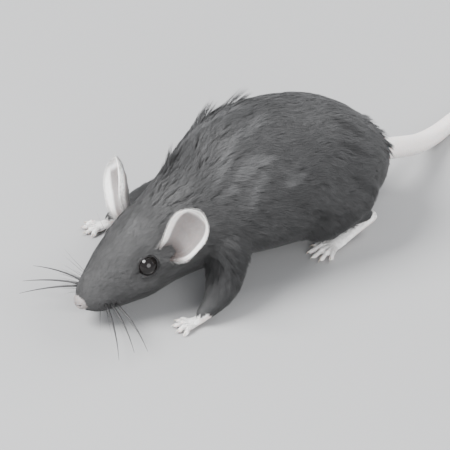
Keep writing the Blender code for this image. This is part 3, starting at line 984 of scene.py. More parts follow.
def foot_field(points, foot):
    """How far each point belongs to a foot, the foot's way forward, and how far along it lies."""
    palm = foot_sizes(foot)["palm"]
    heel, forward, across = foot_line(foot)
    along = (points - heel) @ forward
    beside = np.abs((points - heel) @ across)
    height = points[:, 2] - heel_raised(foot, along / palm)
    turn = np.arctan2(beside, along)
    ragged = 0.35 * np.sin(5.0 * turn + 0.7) + 0.25 * np.sin(11.0 * turn)
    share = blend(height + ragged, 3.3, 2.7) * (along > -2.4) * (beside < 6.0)
    return share * (along < palm + 8.0), forward, along / palm


def foot_fields(points):
    """The same for whichever foot is nearest."""
    return strongest(points, (foot_field(points, foot) for foot in FEET))


def markings_and_painted_shade(points):
    """The coat's colour at each point: grey, lighter on the face, white feet, and a darker band of
    painted shade along the belly and lower flanks.
    """
    angle = np.abs(round_body(points))
    behind = points[:, 1]
    colours = np.tile(COLOURS["back"], (len(points), 1))
    ragged = 0.9 * np.sin(0.31 * angle) + 0.6 * np.sin(0.83 * angle + 1.0)
    # The lighter face is a marking. It stops short of the head's underside, which keeps the darker
    # grey as painted shade.
    face = blend(behind + ragged, 29.0, 25.5) * blend(angle, 122.0, 98.0)
    colours = mixed(colours, COLOURS["face"], face)
    # Painted shade: a band with a ragged top along the underside from the neck back, rising up the
    # rump's rear edge, with the forelegs left out.
    jagged = 4.5 * np.sin(0.8 * behind) + 2.5 * np.sin(2.1 * behind + 1.0)
    jagged = jagged + 8.0 * blend(behind, 62.0, 80.0)
    painted_shade_below = blend(behind, 26.0, 34.0) * blend(angle + jagged, 95.0, 102.0)
    legs, _, _ = leg_fields(points)
    colours = mixed(colours, COLOURS["belly"], painted_shade_below * (1.0 - legs * blend(behind, 50.0, 46.0)))
    feet, _, _ = foot_fields(points)
    return mixed(colours, COLOURS["white"], feet)


def sheen_and_shade_tones(points):
    """How much painted sheen lightens, or painted shade darkens, the locks at each point."""
    arc = np.radians(np.abs(round_body(points))) * girth(points)
    place = np.stack([points[:, 1], arc], axis=1)
    tones = np.ones(len(points))
    for start, end, half, tone in SHEEN_AND_SHADE_STREAKS:
        middle = 0.5 * (start[0] + end[0])
        size = np.interp(middle, SPINE[:, 0], 0.5 * (SPINE[:, 2] + SPINE[:, 3]))
        a = np.array((start[0], math.radians(start[1]) * size))
        b = np.array((end[0], math.radians(end[1]) * size))
        along = (place - a) @ (b - a) / ((b - a) @ (b - a))
        held = np.clip(along, 0.0, 1.0)
        away = np.linalg.norm(place - a - held[:, None] * (b - a), axis=1)
        width = half * (0.15 + 1.1 * np.sin(np.pi * held))
        tones += (tone - 1.0) * blend(away / width, 1.1, 0.8)
    return tones


def standing_shares(points):
    """How far the locks at each point stand out from the coat."""
    angle, size = round_body(points), girth(points)
    stand = np.zeros(len(points))
    for behind, degrees, reach, height in STANDING:
        arc = np.radians(np.abs(angle - degrees)) * size
        stand += height * bell(np.hypot(points[:, 1] - behind, arc), reach)
    return stand


# ---------------------------------------------------------------- the coat

COAT_HAIRS = 440000
HAIRS_IN_LOCK = 30
LOCKS_IN_GROUP = 8
# How hairs, locks and groups of locks vary: pairs are the least and the most, and single numbers
# spreads. A lock turns in radians, and its group's middle lock pulls its tip by a share.
HAIR = {"height": (0.82, 1.05), "reach": (0.8, 1.08), "splay": 0.09, "tone": 0.09, "lean": 0.6}
LOCK = {"height": (0.92, 1.06), "turn": 0.13, "tone": 0.06, "gather": (0.13, 0.08)}
GROUP = {"height": 0.05, "tone": 0.05, "pull": 0.1}
# Where locks may stand, the chance that one does at the edges, its height, and the others' height.
STANDS = {"chance": 0.3, "height": (0.8, 1.1), "lying": 0.04, "gather": 0.4, "longer": 0.3}
COMBINGS = 150  # steps that even out the coat's lie
STATIONS = np.array((0.0, 0.5, 1.0))  # along a hair, and its width and tone at each
STATION_WIDTHS = np.array((1.0, 0.85, 0.0))
STATION_TONES = np.array((0.84, 0.96, 1.05))
FINE_TONES = np.array((0.75, 0.95, 1.05))  # of the hairs on the ears and the tail
LOCK_RISE = np.array((0.0, 0.78, 0.88))  # height at each station of a lock that lies flat
ROOT_DEPTH = 0.03  # how far a hair starts inside the skin
PATCH = 0.003  # a hair's patch on the map OFBake


def beside_mouth(points):
    """How near each point is to the line of the lips: 1 on it, 0 away from it."""
    behind = points[:, 1]
    near = blend(np.abs(over_mouth(points)), 0.5, 0.12)
    return near * blend(behind, 1.0, 1.7) * blend(behind, 8.6, 7.2)


def coat_depth(points, normals):
    """How far the coat stands off the skin: short by the lips and eyes and inside the legs."""
    depth = np.minimum(beside_spine(points, 5), 0.07 + 0.055 * points[:, 1])
    depth = depth * (1.0 - 0.7 * beside_mouth(points))
    inside = blend(normals[:, 0] * np.sign(points[:, 0]), 0.15, -0.45)
    inside = inside * blend(np.abs(points[:, 0]), 3.0, 7.0)
    depth = depth * (1.0 - 0.6 * inside * blend(points[:, 1], 24.0, 28.0))
    for outward in SIDES.values():
        share, distance, _ = lid_share(points, outward)
        near = blend(distance, 4.2, 2.4) * blend(share, 2.4, 1.2)
        depth = depth * (1.0 - 0.62 * near)
    legs, _, leg_depth = leg_fields(points)
    depth = depth * (1.0 - legs) + leg_depth * legs
    feet, _, _ = foot_fields(points)
    return depth * (1.0 - feet) + 0.13 * feet


def coat_lie(points):
    """The way the hairs lie: back from the nose and down the flanks, then down the legs. Also how
    far the locks swirl off it at each point, in radians."""
    x, y, z = points.T
    rise = np.interp(y, SPINE[:, 0], SPINE_WAYS[:, 1])
    back = np.interp(y, SPINE[:, 0], SPINE_WAYS[:, 0])
    ways = np.stack([np.zeros(len(points)), back, rise], axis=1)
    droop = 0.1 + 0.32 * blend(y, 22.0, 44.0)
    ways[:, 2] -= droop * np.abs(np.sin(np.radians(round_body(points))))
    for rows in LEG_PATHS.values():
        upper = rows[: len(rows) // 2]
        gap = [np.linalg.norm(points - row[:3], axis=1) - row[3] for row in upper]
        ways[:, 2] -= 1.2 * blend(np.min(gap, axis=0), 2.0, 0.0)
    for fields in (leg_fields, foot_fields):
        shares, limb_ways, _ = fields(points)
        ways = mixed(ways, limb_ways, shares)
    swirl = np.sin(0.41 * y + 0.3 * x) + np.sin(0.33 * z - 0.2 * y + 2.0)
    return unit(ways), 0.16 * swirl


def combed(obj, ways, normals):
    """A field of directions on a skin, laid along it and evened out between neighbours."""
    a, b = numbers_of(obj.data.edges, "vertices", 2).T
    count = len(ways)
    ways = flattened(ways, normals)
    start = ways.copy()
    for step in range(COMBINGS):
        total = 0.07 * start * (step < 0.8 * COMBINGS)
        for axis in range(3):
            field = ways[:, axis]
            total[:, axis] += np.bincount(a, field[b], count) + np.bincount(b, field[a], count)
        ways = flattened(total, normals)
        ways /= np.maximum(np.linalg.norm(ways, axis=1, keepdims=True), 1.0)
    return unit(ways)


def hair_length(depth):
    """How long a hair is where the coat has a depth: it lies at a slant."""
    return 0.6 + 2.75 * depth


def hair_width(depth):
    return 0.055 + 0.03 * depth


def bare_places(points, normals):
    """1 where hair grows, 0 on the nose, in the eyes' openings, on soles and under toes."""
    grows = np.ones(len(points))
    for outward in SIDES.values():
        share, distance, _ = lid_share(points, outward)
        grows *= 1.0 - (distance < EYE["radius"] + 0.9) * blend(share, 1.2, 1.1)
        grows *= blend(from_cup(points, outward), 1.7, 2.4)
    grows *= blend(from_pad(points, 1.12), 0.95, 1.05)
    feet, _, reach = foot_fields(points)
    sole = blend(normals[:, 2], 0.0, 0.25) * blend(points[:, 2], 0.5, 0.9)
    thin = 1.0 - 0.6 * blend(reach, 0.9, 1.2)
    return grows * (1.0 - feet + feet * sole * thin)


def scatter(obj, count, weights, draw):
    """Places spread over a skin: each one's face corners and its shares of them."""
    obj.data.calc_loop_triangles()
    corners = numbers_of(obj.data.loop_triangles, "vertices", 3)
    points, _ = points_of(obj)
    a, b, c = (points[corners[:, i]] for i in range(3))
    area = 0.5 * np.linalg.norm(np.cross(b - a, c - a), axis=1)
    chance = area * weights[corners].mean(axis=1)
    chosen = draw.choice(len(corners), count, p=chance / chance.sum())
    root = np.sqrt(draw.random(count))
    other = draw.random(count)
    shares = np.stack([1.0 - root, root * (1.0 - other), root * other], axis=1)
    return corners[chosen], shares


def spread(field, corners, shares):
    """A field given at a skin's points, at scattered places."""
    values = field[corners]
    return np.einsum("nk,nk...->n...", shares, values)


def lay_guides(tree, roots, ways, lengths):
    """Each lock's path over the skin: its stations and the skin's way out at each."""
    places = np.empty((len(roots), len(STATIONS), 3))
    outs = np.empty_like(places)
    steps = np.diff(STATIONS)
    for i, (root, way, length) in enumerate(zip(roots, ways, lengths)):
        place, out, _, _ = tree.find_nearest(Vector(root))
        way = Vector(way)
        places[i, 0], outs[i, 0] = place, out
        for k, step in enumerate(steps):
            way = (way - out * way.dot(out)).normalized()
            place, out, _, _ = tree.find_nearest(place + way * (length * step))
            places[i, k + 1], outs[i, k + 1] = place, out
    return places, outs


def nearest_of(places, targets):
    """For each place, which target lies nearest."""
    finder = KDTree(len(targets))
    for i, target in enumerate(targets):
        finder.insert(target, i)
    finder.balance()
    return np.array([finder.find(place)[1] for place in places])


def spot_shade(places, tree):
    """How dark the muzzle's hairs are: the dots that the long whiskers grow from."""
    shade = np.ones(places.shape[:-1])
    for outward in SIDES.values():
        for root in long_whisker_roots(outward, tree):
            shade *= 1.0 - 0.72 * blend(np.linalg.norm(places - root, axis=-1), 0.6, 0.4)
    return shade


def coat_roots(body, draw):
    """Where the coat's hairs grow: each root with the skin's way out and the coat's depth, lie
    and swirl there."""
    points, normals = points_of(body)
    depth = coat_depth(points, normals)
    ways, swirl = coat_lie(points)
    ways = combed(body, ways, normals)
    cover = bare_places(points, normals) / (hair_length(depth) * hair_width(depth))
    corners, shares = scatter(body, COAT_HAIRS, cover, draw)
    fields = (points, normals, depth, ways, swirl)
    roots, outs, depth, ways, swirl = (spread(field, corners, shares) for field in fields)
    return roots, unit(outs), depth, ways, swirl


def coat_locks(roots, outs, depth, ways, swirl, tree, draw):
    """The locks, which are some of the hairs: for each its path, the skin's ways out along it,
    how far it stands, its height over the coat's depth, its tone and how close it is gathered."""
    locks = draw.choice(COAT_HAIRS, COAT_HAIRS // HAIRS_IN_LOCK, replace=False)
    count = len(locks)
    lie, out = unit(flattened(ways[locks], outs[locks])), outs[locks]
    turn = swirl[locks] + draw.normal(0.0, LOCK["turn"], count)
    lie = swung(turn, lie, np.cross(out, lie))
    stand = standing_shares(roots[locks])
    chance = STANDS["chance"] + (1.0 - STANDS["chance"]) * blend(stand, 1.2, 1.6)
    stands = draw.random(count) < chance
    stand = stand * np.where(stands, draw.uniform(*STANDS["height"], count), STANDS["lying"])
    lengths = hair_length(depth[locks]) * (1.0 + STANDS["longer"] * stand)
    paths, path_outs = lay_guides(tree, roots[locks], lie, lengths)
    groups = draw.choice(count, count // LOCKS_IN_GROUP, replace=False)
    group = groups[nearest_of(paths[:, 0], paths[groups, 0])]
    pull = GROUP["pull"] * (STATIONS**1.5)[None, :, None]
    paths += pull * ((paths[group, -1] - paths[:, -1])[:, None])
    height = draw.uniform(*LOCK["height"], count)
    height = height + GROUP["height"] * draw.standard_normal(count)[group]
    tone = np.exp(LOCK["tone"] * draw.standard_normal(count))
    tone = tone * np.exp(GROUP["tone"] * draw.standard_normal(count))[group]
    usual, varies = LOCK["gather"]
    gather = usual + varies * draw.standard_normal(count) + STANDS["gather"] * stand
    return {
        "paths": paths,
        "outs": path_outs,
        "stand": stand,
        "height": height + stand,
        "tone": tone,
        "gather": np.clip(gather, 0.0, 0.85),
    }


def coat_colours(roots, paths, tone, tree):
    """Each hair's colour at its stations: markings, streaks of painted sheen and painted shade,
    whisker dots, and painted shade along the crease of the lips.
    """
    colours = markings_and_painted_shade(roots)[:, None] * tone[:, None, None] * STATION_TONES[None, :, None]
    # painted sheen and painted shade, in streaks along the locks
    sheen_and_shade = np.stack([sheen_and_shade_tones(paths[:, station]) for station in (1, 1, 2)], axis=1)
    colours *= sheen_and_shade[..., None]
    muzzle = roots[:, 1] < 10.0
    colours[muzzle] *= spot_shade(paths[muzzle], tree)[..., None]
    # Painted shade: the hairs by the crease between the lips are darkened.
    colours[muzzle] *= 1.0 - 0.55 * beside_mouth(roots[muzzle])[:, None, None]
    return colours


def coat_hairs(body, tree, draw):
    """Every hair's path, skin directions, width and colour, gathered in locks."""
    roots, outs, depth, ways, swirl = coat_roots(body, draw)
    locks = coat_locks(roots, outs, depth, ways, swirl, tree, draw)
    lock = nearest_of(roots, locks["paths"][:, 0])
    own = {key: values[lock] for key, values in locks.items()}  # each hair's lock's

    keen = np.clip(own["stand"], 0.0, 1.0)[:, None]
    rise = LOCK_RISE * (1.0 - keen) + STATIONS[None] ** 0.9 * keen
    height = depth * own["height"] * draw.uniform(*HAIR["height"], COAT_HAIRS)
    height = height[:, None] * rise - ROOT_DEPTH
    start = own["paths"][:, :1]
    reach = draw.uniform(*HAIR["reach"], COAT_HAIRS)[:, None, None]
    along = (own["paths"] - start) * reach
    aside = HAIR["splay"] * hair_length(depth) * draw.normal(0.0, 1.0, COAT_HAIRS)
    splay = unit(np.cross(along[:, -1], outs))[:, None] * aside[:, None, None]
    together = 1.0 - own["gather"][:, None] * STATIONS[None] ** 1.3
    apart = (roots[:, None] - start) * together[..., None]
    paths = start + along + apart + splay * (STATIONS**2)[None, :, None]
    paths = paths + own["outs"] * height[..., None]
    paths[..., 2] = np.maximum(paths[..., 2], LOWEST["coat"])
    tone = own["tone"] * np.exp(HAIR["tone"] * draw.standard_normal(COAT_HAIRS))
    return {
        "roots": roots,
        "paths": paths,
        "outs": own["outs"],
        "widths": hair_width(depth),
        "colours": coat_colours(roots, paths, tone, tree),
    }


def hair_corners(hairs, draw):
    """Both edges of every hair's ribbon at each station, and the way its light falls."""
    paths, outs = hairs["paths"], hairs["outs"]
    along = unit(np.gradient(paths, axis=1))
    across = unit(np.cross(along, outs))
    facing = np.cross(across, along)
    lean = draw.uniform(-HAIR["lean"], HAIR["lean"], len(paths))[:, None, None]
    across_now = across * np.cos(lean) + facing * np.sin(lean)
    facing_now = facing * np.cos(lean) - across * np.sin(lean)
    half = 0.5 * hairs["widths"][:, None, None] * STATION_WIDTHS[None, :, None]
    left, right = paths - across_now * half, paths + across_now * half
    pairs = np.stack([left, right], axis=2)[:, :2].reshape(len(paths), 4, 3)
    corners = np.concatenate([pairs, paths[:, 2:]], axis=1)
    light = unit(0.62 * outs + 0.38 * facing_now)
    light = np.concatenate([np.repeat(light[:, :2], 2, axis=1), light[:, 2:]], axis=1)
    return corners, light


def hair_mesh(name, hairs, draw):
    """Hairs as one mesh of ribbons of three triangles, each with its patch of the map OFBake."""
    corners, light = hair_corners(hairs, draw)
    numbers = np.arange(len(corners))[:, None]
    mesh = bpy.data.meshes.new(name)
    mesh.vertices.add(5 * len(corners))
    mesh.vertices.foreach_set("co", placed(corners).astype(np.float32).ravel())
    loops = (numbers * 5 + np.array((0, 1, 3, 2, 2, 3, 4))).ravel()  # a quad and the tip
    mesh.loops.add(len(loops))
    mesh.loops.foreach_set("vertex_index", loops.astype(np.int32))
    starts = (numbers * 7 + np.array((0, 4))).ravel()
    mesh.polygons.add(len(starts))
    mesh.polygons.foreach_set("loop_start", starts.astype(np.int32))
    mesh.update(calc_edges=True)
    colours = np.repeat(hairs["colours"], 2, axis=1)[:, :5].reshape(-1, 3)
    set_colours(mesh, "tint", np.clip(colours, 0.0, 1.0))
    patch = np.array([(-1, -1), (1, -1), (-1, 0), (1, 0), (0, 1)]) * 0.5 * PATCH
    spots = np.clip(hairs["places"], 0.002, 0.998)[:, None] + patch[None]
    layer = mesh.uv_layers.new(name="OFBake")
    layer.data.foreach_set("uv", spots.reshape(-1, 2)[loops].astype(np.float32).ravel())
    mesh.polygons.foreach_set("use_smooth", np.ones(len(starts), bool))
    mesh.normals_split_custom_set_from_vertices(light.reshape(-1, 3).astype(np.float32))
    return scene_object(name, mesh)


COAT_ZONES = (  # name, from and to behind the nose, whether each side is a piece of its own
    ("coat_muzzle", -1.0, 11.0, False),
    ("coat_face", 11.0, 20.0, True),
    ("coat_nape", 20.0, 33.0, False),
    ("coat_shoulder", 33.0, 48.0, True),
    ("coat_flank", 48.0, 64.0, True),
    ("coat_rump", 64.0, 99.0, True),
)
MID_BODY = 48.0  # the forelegs' hairs are ahead of this, the hind legs' behind


def some_hairs(hairs, chosen):
    """The chosen ones of the hairs, with all their numbers."""
    return {key: value[chosen] for key, value in hairs.items()}


def coat_zones(roots):
    """Each piece of the coat: its name, its hairs, and all hairs' places on its map."""
    x, y, z = roots.T
    on_leg = np.maximum(leg_fields(roots)[0], foot_fields(roots)[0]) > 0.5
    angle = round_body(roots)
    for name, start, end, sided in COAT_ZONES:
        chosen = ~on_leg & (y >= start) & (y < end)
        along = (y - start) / (end - start)
        if sided:
            for side, outward in SIDES.items():
                yield f"{name}_{side}", chosen & (x * outward > 0.0), (np.abs(angle) / 180.0, along)
        else:
            yield name, chosen, ((angle + 180.0) / 360.0, along)
    for foot, (leg, heel, _, _) in FEET.items():
        chosen = on_leg & (x * heel[0] > 0.0) & ((y < MID_BODY) == ("fore" in foot))
        turn = np.arctan2(x - heel[0], y - heel[1] + 2.0)
        yield "coat_" + leg, chosen, ((turn + np.pi) / (2 * np.pi), np.clip(z / 20.0, 0.0, 1.0))


def coat_pieces(hairs, draw):
    """The coat parted into pieces, each mapped round the body or round its leg."""
    pieces = []
    for name, chosen, places in coat_zones(hairs["roots"]):
        hairs["places"] = np.stack(places, axis=1)
        pieces.append(hair_mesh(name, some_hairs(hairs, chosen), draw))
    return pieces


def straight_hairs(roots, ways, outs, lengths, lift, width, colours, places, draw):
    """Short hairs that lie one by one, each rising evenly from its root."""
    count = len(roots)
    ways = unit(flattened(ways, outs) + 0.18 * draw.standard_normal((count, 3)))
    along = ways[:, None] * (lengths[:, None] * STATIONS[None])[..., None]
    lift = lift * draw.uniform(0.6, 1.3, count)
    rise = outs[:, None] * (lift[:, None] * STATIONS[None] ** 0.8)[..., None]
    paths = roots[:, None] - 0.04 * outs[:, None] + along + rise
    paths[..., 2] = np.maximum(paths[..., 2], LOWEST["fine_hair"])
    tone = np.exp(0.1 * draw.standard_normal(count))[:, None, None] * FINE_TONES[None, :, None]
    return {
        "roots": roots,
        "paths": paths,
        "outs": np.repeat(outs[:, None], len(STATIONS), axis=1),
        "widths": np.full(count, width),
        "colours": colours[:, None] * tone,
        "places": np.stack(places, axis=1),
    }


EAR_HAIRS = {  # how many, the lowest one's share of the ear's height, length, width, paleness
    "back": (9000, 0.06, 0.75, 0.05, 0.2),
    "inside": (1800, 0.1, 0.5, 0.03, 0.5),
    "rim": (4200, 0.12, 0.55, 0.036, 1.0),
}
TAIL_HAIRS = 2600


def ear_hair_places(kind, count, lowest, draw):
    """Shares of an ear's height and places across it, from -1 to 1, for one kind of its hairs."""
    tall = draw.uniform(lowest, 0.985, count)
    place = draw.uniform(-1.0, 1.0, count)
    if kind == "rim":
        at_top = draw.random(count) < 0.3
        tall = np.where(at_top, draw.uniform(0.93, 0.99, count), tall)
        place = np.where(at_top, place, np.sign(place) * draw.uniform(0.9, 1.0, count))
    return tall, place


def ear_hair_kind(kind, sheet, normal, draw):
    """The hairs of one kind on an ear."""
    count, lowest, length, width, pale = EAR_HAIRS[kind]
    tall, place = ear_hair_places(kind, count, lowest, draw)
    row = np.clip(tall * (EAR_ROWS - 1), 0, EAR_ROWS - 1).astype(int)
    column = (place + 1.0) * 0.5 * (EAR_COLUMNS - 1)
    column = np.clip(column, 0, EAR_COLUMNS - 1).astype(int)
    jitter = draw.uniform(-0.12, 0.12, (count, 3))
    either = np.where(draw.random(count) < 0.5, 1.0, -1.0)[:, None]
    out = normal[row, column] * {"back": -1.0, "inside": 1.0, "rim": either}[kind]
    edge = unit(sheet[row, column] - sheet[row, EAR_COLUMNS // 2])
    lie = unit(np.gradient(sheet, axis=0))[row, column]
    way = lie + (0.9 if kind == "rim" else 0.25) * edge
    root = sheet[row, column] + flattened(jitter, out) + out * EAR["thick"] * 0.42
    near_root = blend(tall, 0.45, 0.0)
    lengths = length * draw.uniform(0.6, 1.3, count) + 1.3 * near_root
    shade = np.array(COLOURS["face"]) * (1.0 - pale) + np.array(COLOURS["ear_rim"]) * pale
    shades = mixed(np.tile(shade, (count, 1)), COLOURS["face"], 0.8 * near_root)
    lift = 0.16 + 0.3 * near_root
    places = (0.5 * (place + 1.0), tall)
    return straight_hairs(root, way, out, lengths, lift, width, shades, places, draw)


def ear_hairs(ear_side, draw):
    """Fine short hairs: close on the ear's back, sparse inside, pale along its rim."""
    sheet = ear_sheet(ear_side)
    normal = sheet_normals(sheet, ear_axes(ear_side)[2])
    kinds = [ear_hair_kind(kind, sheet, normal, draw) for kind in EAR_HAIRS]
    return {key: np.concatenate([kind[key] for kind in kinds]) for key in kinds[0]}


def tail_hairs(draw):
    """Sparse short bristles that lie back along the tail from between its scales."""
    rows, steps = tail_path()
    chosen = draw.integers(8, len(rows) - 4, TAIL_HAIRS)
    along = directions(rows[:, :3])[chosen]
    side = unit(np.cross(along, (0.0, 0.0, 1.0)))
    angle = draw.uniform(0.0, 2 * np.pi, TAIL_HAIRS)
    outs = swung(angle, side, np.cross(side, along))
    radius = rows[chosen, 3] * TAIL_SKIN - 0.05
    roots = rows[chosen, :3] + outs * radius[:, None]
    kept = roots[:, 2] > 0.3
    shades = np.tile(mixed(COLOURS["white"], COLOURS["back"], 0.12), (TAIL_HAIRS, 1))
    share = steps[chosen] / steps[-1]
    lengths = draw.uniform(0.7, 1.25, TAIL_HAIRS) * (0.5 + 0.5 * steps[chosen] / steps[-1])
    places = (angle / (2 * np.pi), share)
    hairs = straight_hairs(roots, along, outs, lengths, 0.16, 0.045, shades, places, draw)
    return some_hairs(hairs, kept)


# ---------------------------------------------------------------- the skin's colours


def painted(look, colour, share):
    """A skin's colours, and how bare it is, with a colour laid over each point by a share."""
    colours, bare = look
    return mixed(colours, colour, share), np.maximum(bare, share)


def painted_where(look, chosen, colour, share):
    """The same for the chosen points only."""
    colours, bare = look
    colours[chosen], bare[chosen] = painted((colours[chosen], bare[chosen]), colour, share)
    return colours, bare


def skin_colours(skin, dots):
    """The skin's colour at each point, and how bare it is there: 0 under the coat, 1 bare."""
    points, normals = points_of(skin)
    # Behind the head the skin under the coat is paler: partly the skin's own paler tone, partly
    # painted light that lifts the shade seen in the coat's partings.
    pale_skin_and_painted_light = 0.95 + 0.55 * blend(points[:, 1], 20.0, 26.0)
    look = np.minimum(markings_and_painted_shade(points) * pale_skin_and_painted_light[:, None], 0.84), np.zeros(len(points))
    look = painted(look, COLOURS["foot"], foot_fields(points)[0])
    for side, outward in SIDES.items():
        # Painted shade: near black in the sunk hollow at the foot of each ear.
        look = painted(look, COLOURS["ear_canal_shade"], blend(from_cup(points, outward), 3.0, 1.8))
        look = ear_paint(look, points, normals, side)
        # Dark lid rims, and painted shade on the sunk skin of the socket that shows in each eye's
        # front corner.
        share, distance, _ = lid_share(points, outward)
        lid = (distance < EYE["radius"] + 0.45) * blend(share, 1.22, 1.12)
        look = painted(look, COLOURS["lid"], lid)
    pad = from_pad(points, 1.06)
    look = painted(look, COLOURS["nose"], blend(pad, 1.12, 1.0) * (points[:, 1] < 2.0))
    # Painted shade: near black deep in each sunk nostril.
    for outward in SIDES.values():
        hole = NOSE_PAD["place"] + mirrored(NOSTRIL["place"], outward)
        deep = blend(from_nostril(points, hole, outward), 1.15, 0.6)
        look = painted(look, COLOURS["nostril_shade"], deep * (points[:, 1] < 1.1) * (pad < 1.1))
    colours, bare = tail_paint(look, points)
    for root in dots:
        dot = blend(np.linalg.norm(points - root, axis=1), 0.42, 0.2)
        colours = mixed(colours, COLOURS["whisker"], 0.9 * dot)
    return colours, bare


def ear_paint(look, points, normals, ear_side):
    """Paints an ear: grey-pink, with painted shade down its funnel, near white along its rim."""
    flat = ear_sheet(ear_side).reshape(-1, 3)
    root, up, facing, _ = ear_axes(ear_side)
    near = np.linalg.norm(points - (root + up * 7.0), axis=1) < 13.0
    index = nearest_of(points[near], flat)
    gap = np.linalg.norm(points[near] - flat[index], axis=1)
    tall = (index // EAR_COLUMNS) / (EAR_ROWS - 1.0)
    place = 2.0 * (index % EAR_COLUMNS) / (EAR_COLUMNS - 1.0) - 1.0
    on_ear = blend(gap, 0.62, 0.42) * blend(tall, 0.03, 0.09)
    inside = blend(np.sum(normals[near] * facing, axis=1), -0.2, 0.2)
    rim = np.maximum(blend(np.abs(place), 0.68, 0.82), blend(tall, 0.8, 0.9))
    shade = np.tile(COLOURS["ear"], (len(index), 1))
    # painted shade down the funnel, on the ear's inner face near its root
    shade = mixed(shade, COLOURS["ear_canal_shade"], inside * blend(tall, 0.36, 0.1))
    shade = mixed(shade, COLOURS["ear_rim"], rim * blend(tall, 0.12, 0.3))
    return painted_where(look, near, shade, on_ear)


def tail_paint(look, points):
    """Paints the tail, darker between its rings of scales."""
    rows, steps = tail_path()
    behind = points[:, 1] > 84.0
    nearest = nearest_of(points[behind], rows[:, :3])
    gap = np.linalg.norm(points[behind] - rows[nearest, :3], axis=1) - rows[nearest, 3]
    on_tail = blend(gap, 0.35, 0.15) * blend(steps[nearest], 1.6, 2.6)
    shade = 0.78 + 0.22 * np.abs(np.sin(np.pi * steps[nearest] / TAIL_RING))
    return painted_where(look, behind, np.array(COLOURS["tail"]) * shade[:, None], on_tail)


# ---------------------------------------------------------------- materials


class Look:
    """A material, and the nodes that feed its main shader."""

    def __init__(self, name, roughness, **sockets):
        self.material = bpy.data.materials.new(name)
        self.material.use_nodes = True
        self.nodes = self.material.node_tree.nodes
        self.links = self.material.node_tree.links
        self.main = self.nodes["Principled BSDF"]
        self.main.inputs["Roughness"].default_value = roughness
        for socket, value in sockets.items():
            self.main.inputs[socket.replace("_", " ")].default_value = value

    def feed(self, socket, value):
        self.links.new(value, self.main.inputs[socket])

    def noise(self, scale, detail=3.0, roughness=0.5):
        """Noise in the object's own space; scale is its waves per metre."""
        place = self.nodes.new("ShaderNodeTexCoord")
        texture = self.nodes.new("ShaderNodeTexNoise")
        texture.inputs["Scale"].default_value = scale
        texture.inputs["Detail"].default_value = detail
        texture.inputs["Roughness"].default_value = roughness
        self.links.new(place.outputs["Object"], texture.inputs["Vector"])
        return texture.outputs["Fac"]

    def ranged(self, value, low, high):
        """A 0 to 1 value spread over low to high."""
        node = self.nodes.new("ShaderNodeMapRange")
        node.inputs["To Min"].default_value = low
        node.inputs["To Max"].default_value = high
        self.links.new(value, node.inputs["Value"])
        return node.outputs["Result"]

    def tint(self, value):
        """The mesh's own tint, made lighter or darker by a value, as the colour."""
        tint = self.nodes.new("ShaderNodeAttribute")
        tint.attribute_name = "tint"
        times = self.nodes.new("ShaderNodeVectorMath")
        times.operation = "SCALE"
        self.links.new(tint.outputs["Color"], times.inputs[0])
        self.links.new(value, times.inputs["Scale"])
        self.feed("Base Color", times.outputs["Vector"])

    def ramp(self, value, low, high):
        """A colour between two, by a 0 to 1 value, as the colour."""
        ramp = self.nodes.new("ShaderNodeValToRGB")
        for element, colour in zip(ramp.color_ramp.elements, (low, high)):
            element.color = (*colour, 1.0)
        self.links.new(value, ramp.inputs["Fac"])
        self.feed("Base Color", ramp.outputs["Color"])

    def bump(self, value, distance, strength=0.6):
        """Fine relief; distance is its height in metres."""
        bump = self.nodes.new("ShaderNodeBump")
        bump.inputs["Distance"].default_value = distance
        bump.inputs["Strength"].default_value = strength
        self.links.new(value, bump.inputs["Height"])
        self.feed("Normal", bump.outputs["Normal"])


def coat_material():
    look = Look("coat", 0.58, Specular_IOR_Level=0.32, Sheen_Weight=0.12, Sheen_Roughness=0.45)
    look.tint(look.ranged(look.noise(420.0, 4.0), 0.8, 1.2))
    look.feed("Roughness", look.ranged(look.noise(260.0), 0.5, 0.68))
    return look.material


def skin_material():
    """The skin under the coat, roughened by the roots of its hairs."""
    look = Look("skin_under_coat", 0.7, Specular_IOR_Level=0.2)
    look.tint(look.ranged(look.noise(900.0), 0.75, 1.2))
    look.bump(look.noise(2600.0, 4.0, 0.6), 0.00025)
    return look.material


def bare_material():
    """Bare skin: a little light passes through it, and fine wrinkles and pores cross it."""
    look = Look(
        "bare_skin",
        0.5,
        Specular_IOR_Level=0.4,
        Subsurface_Weight=0.22,
        Subsurface_Scale=0.0009,
        Subsurface_Radius=(1.0, 0.45, 0.32),
    )
    look.tint(look.ranged(look.noise(1200.0, 5.0), 0.86, 1.12))
    look.bump(look.noise(4200.0, 5.0, 0.65), 0.00012, 0.7)
    look.feed("Roughness", look.ranged(look.noise(800.0), 0.4, 0.62))
    return look.material


def eye_material():
    look = Look("eye", 0.05, Specular_IOR_Level=0.3)
    look.ramp(look.noise(500.0), (0.004, 0.0035, 0.0035), (0.011, 0.009, 0.0085))
    return look.material


def horn_material():
    """Claws: pale, half clear horn with growth lines along it."""
    look = Look("claw", 0.35, Subsurface_Weight=0.3, Subsurface_Scale=0.0005)
    look.ramp(look.noise(2200.0, 4.0), (0.42, 0.37, 0.31), COLOURS["claw"])
    look.bump(look.noise(5000.0), 0.00005)
    return look.material


def whisker_material():
    look = Look("whisker", 0.4, Specular_IOR_Level=0.5)
    look.ramp(look.noise(700.0), COLOURS["whisker"], (0.035, 0.034, 0.034))
    return look.material


# ---------------------------------------------------------------- stage

# The picture's view: its angles, its width in millimetres and the camera's distance in metres.
VIEW = {"azimuth": 55.0, "elevation": 36.0, "across": 107.14, "distance": 0.9}
NOSE_IN_VIEW = (-35.5, -18.3)  # the nose tip from the middle of the view, right and up
SENSOR = 36.0
FLOOR_DROP = 0.00005  # the floor's skin lies this far under the feet, in metres


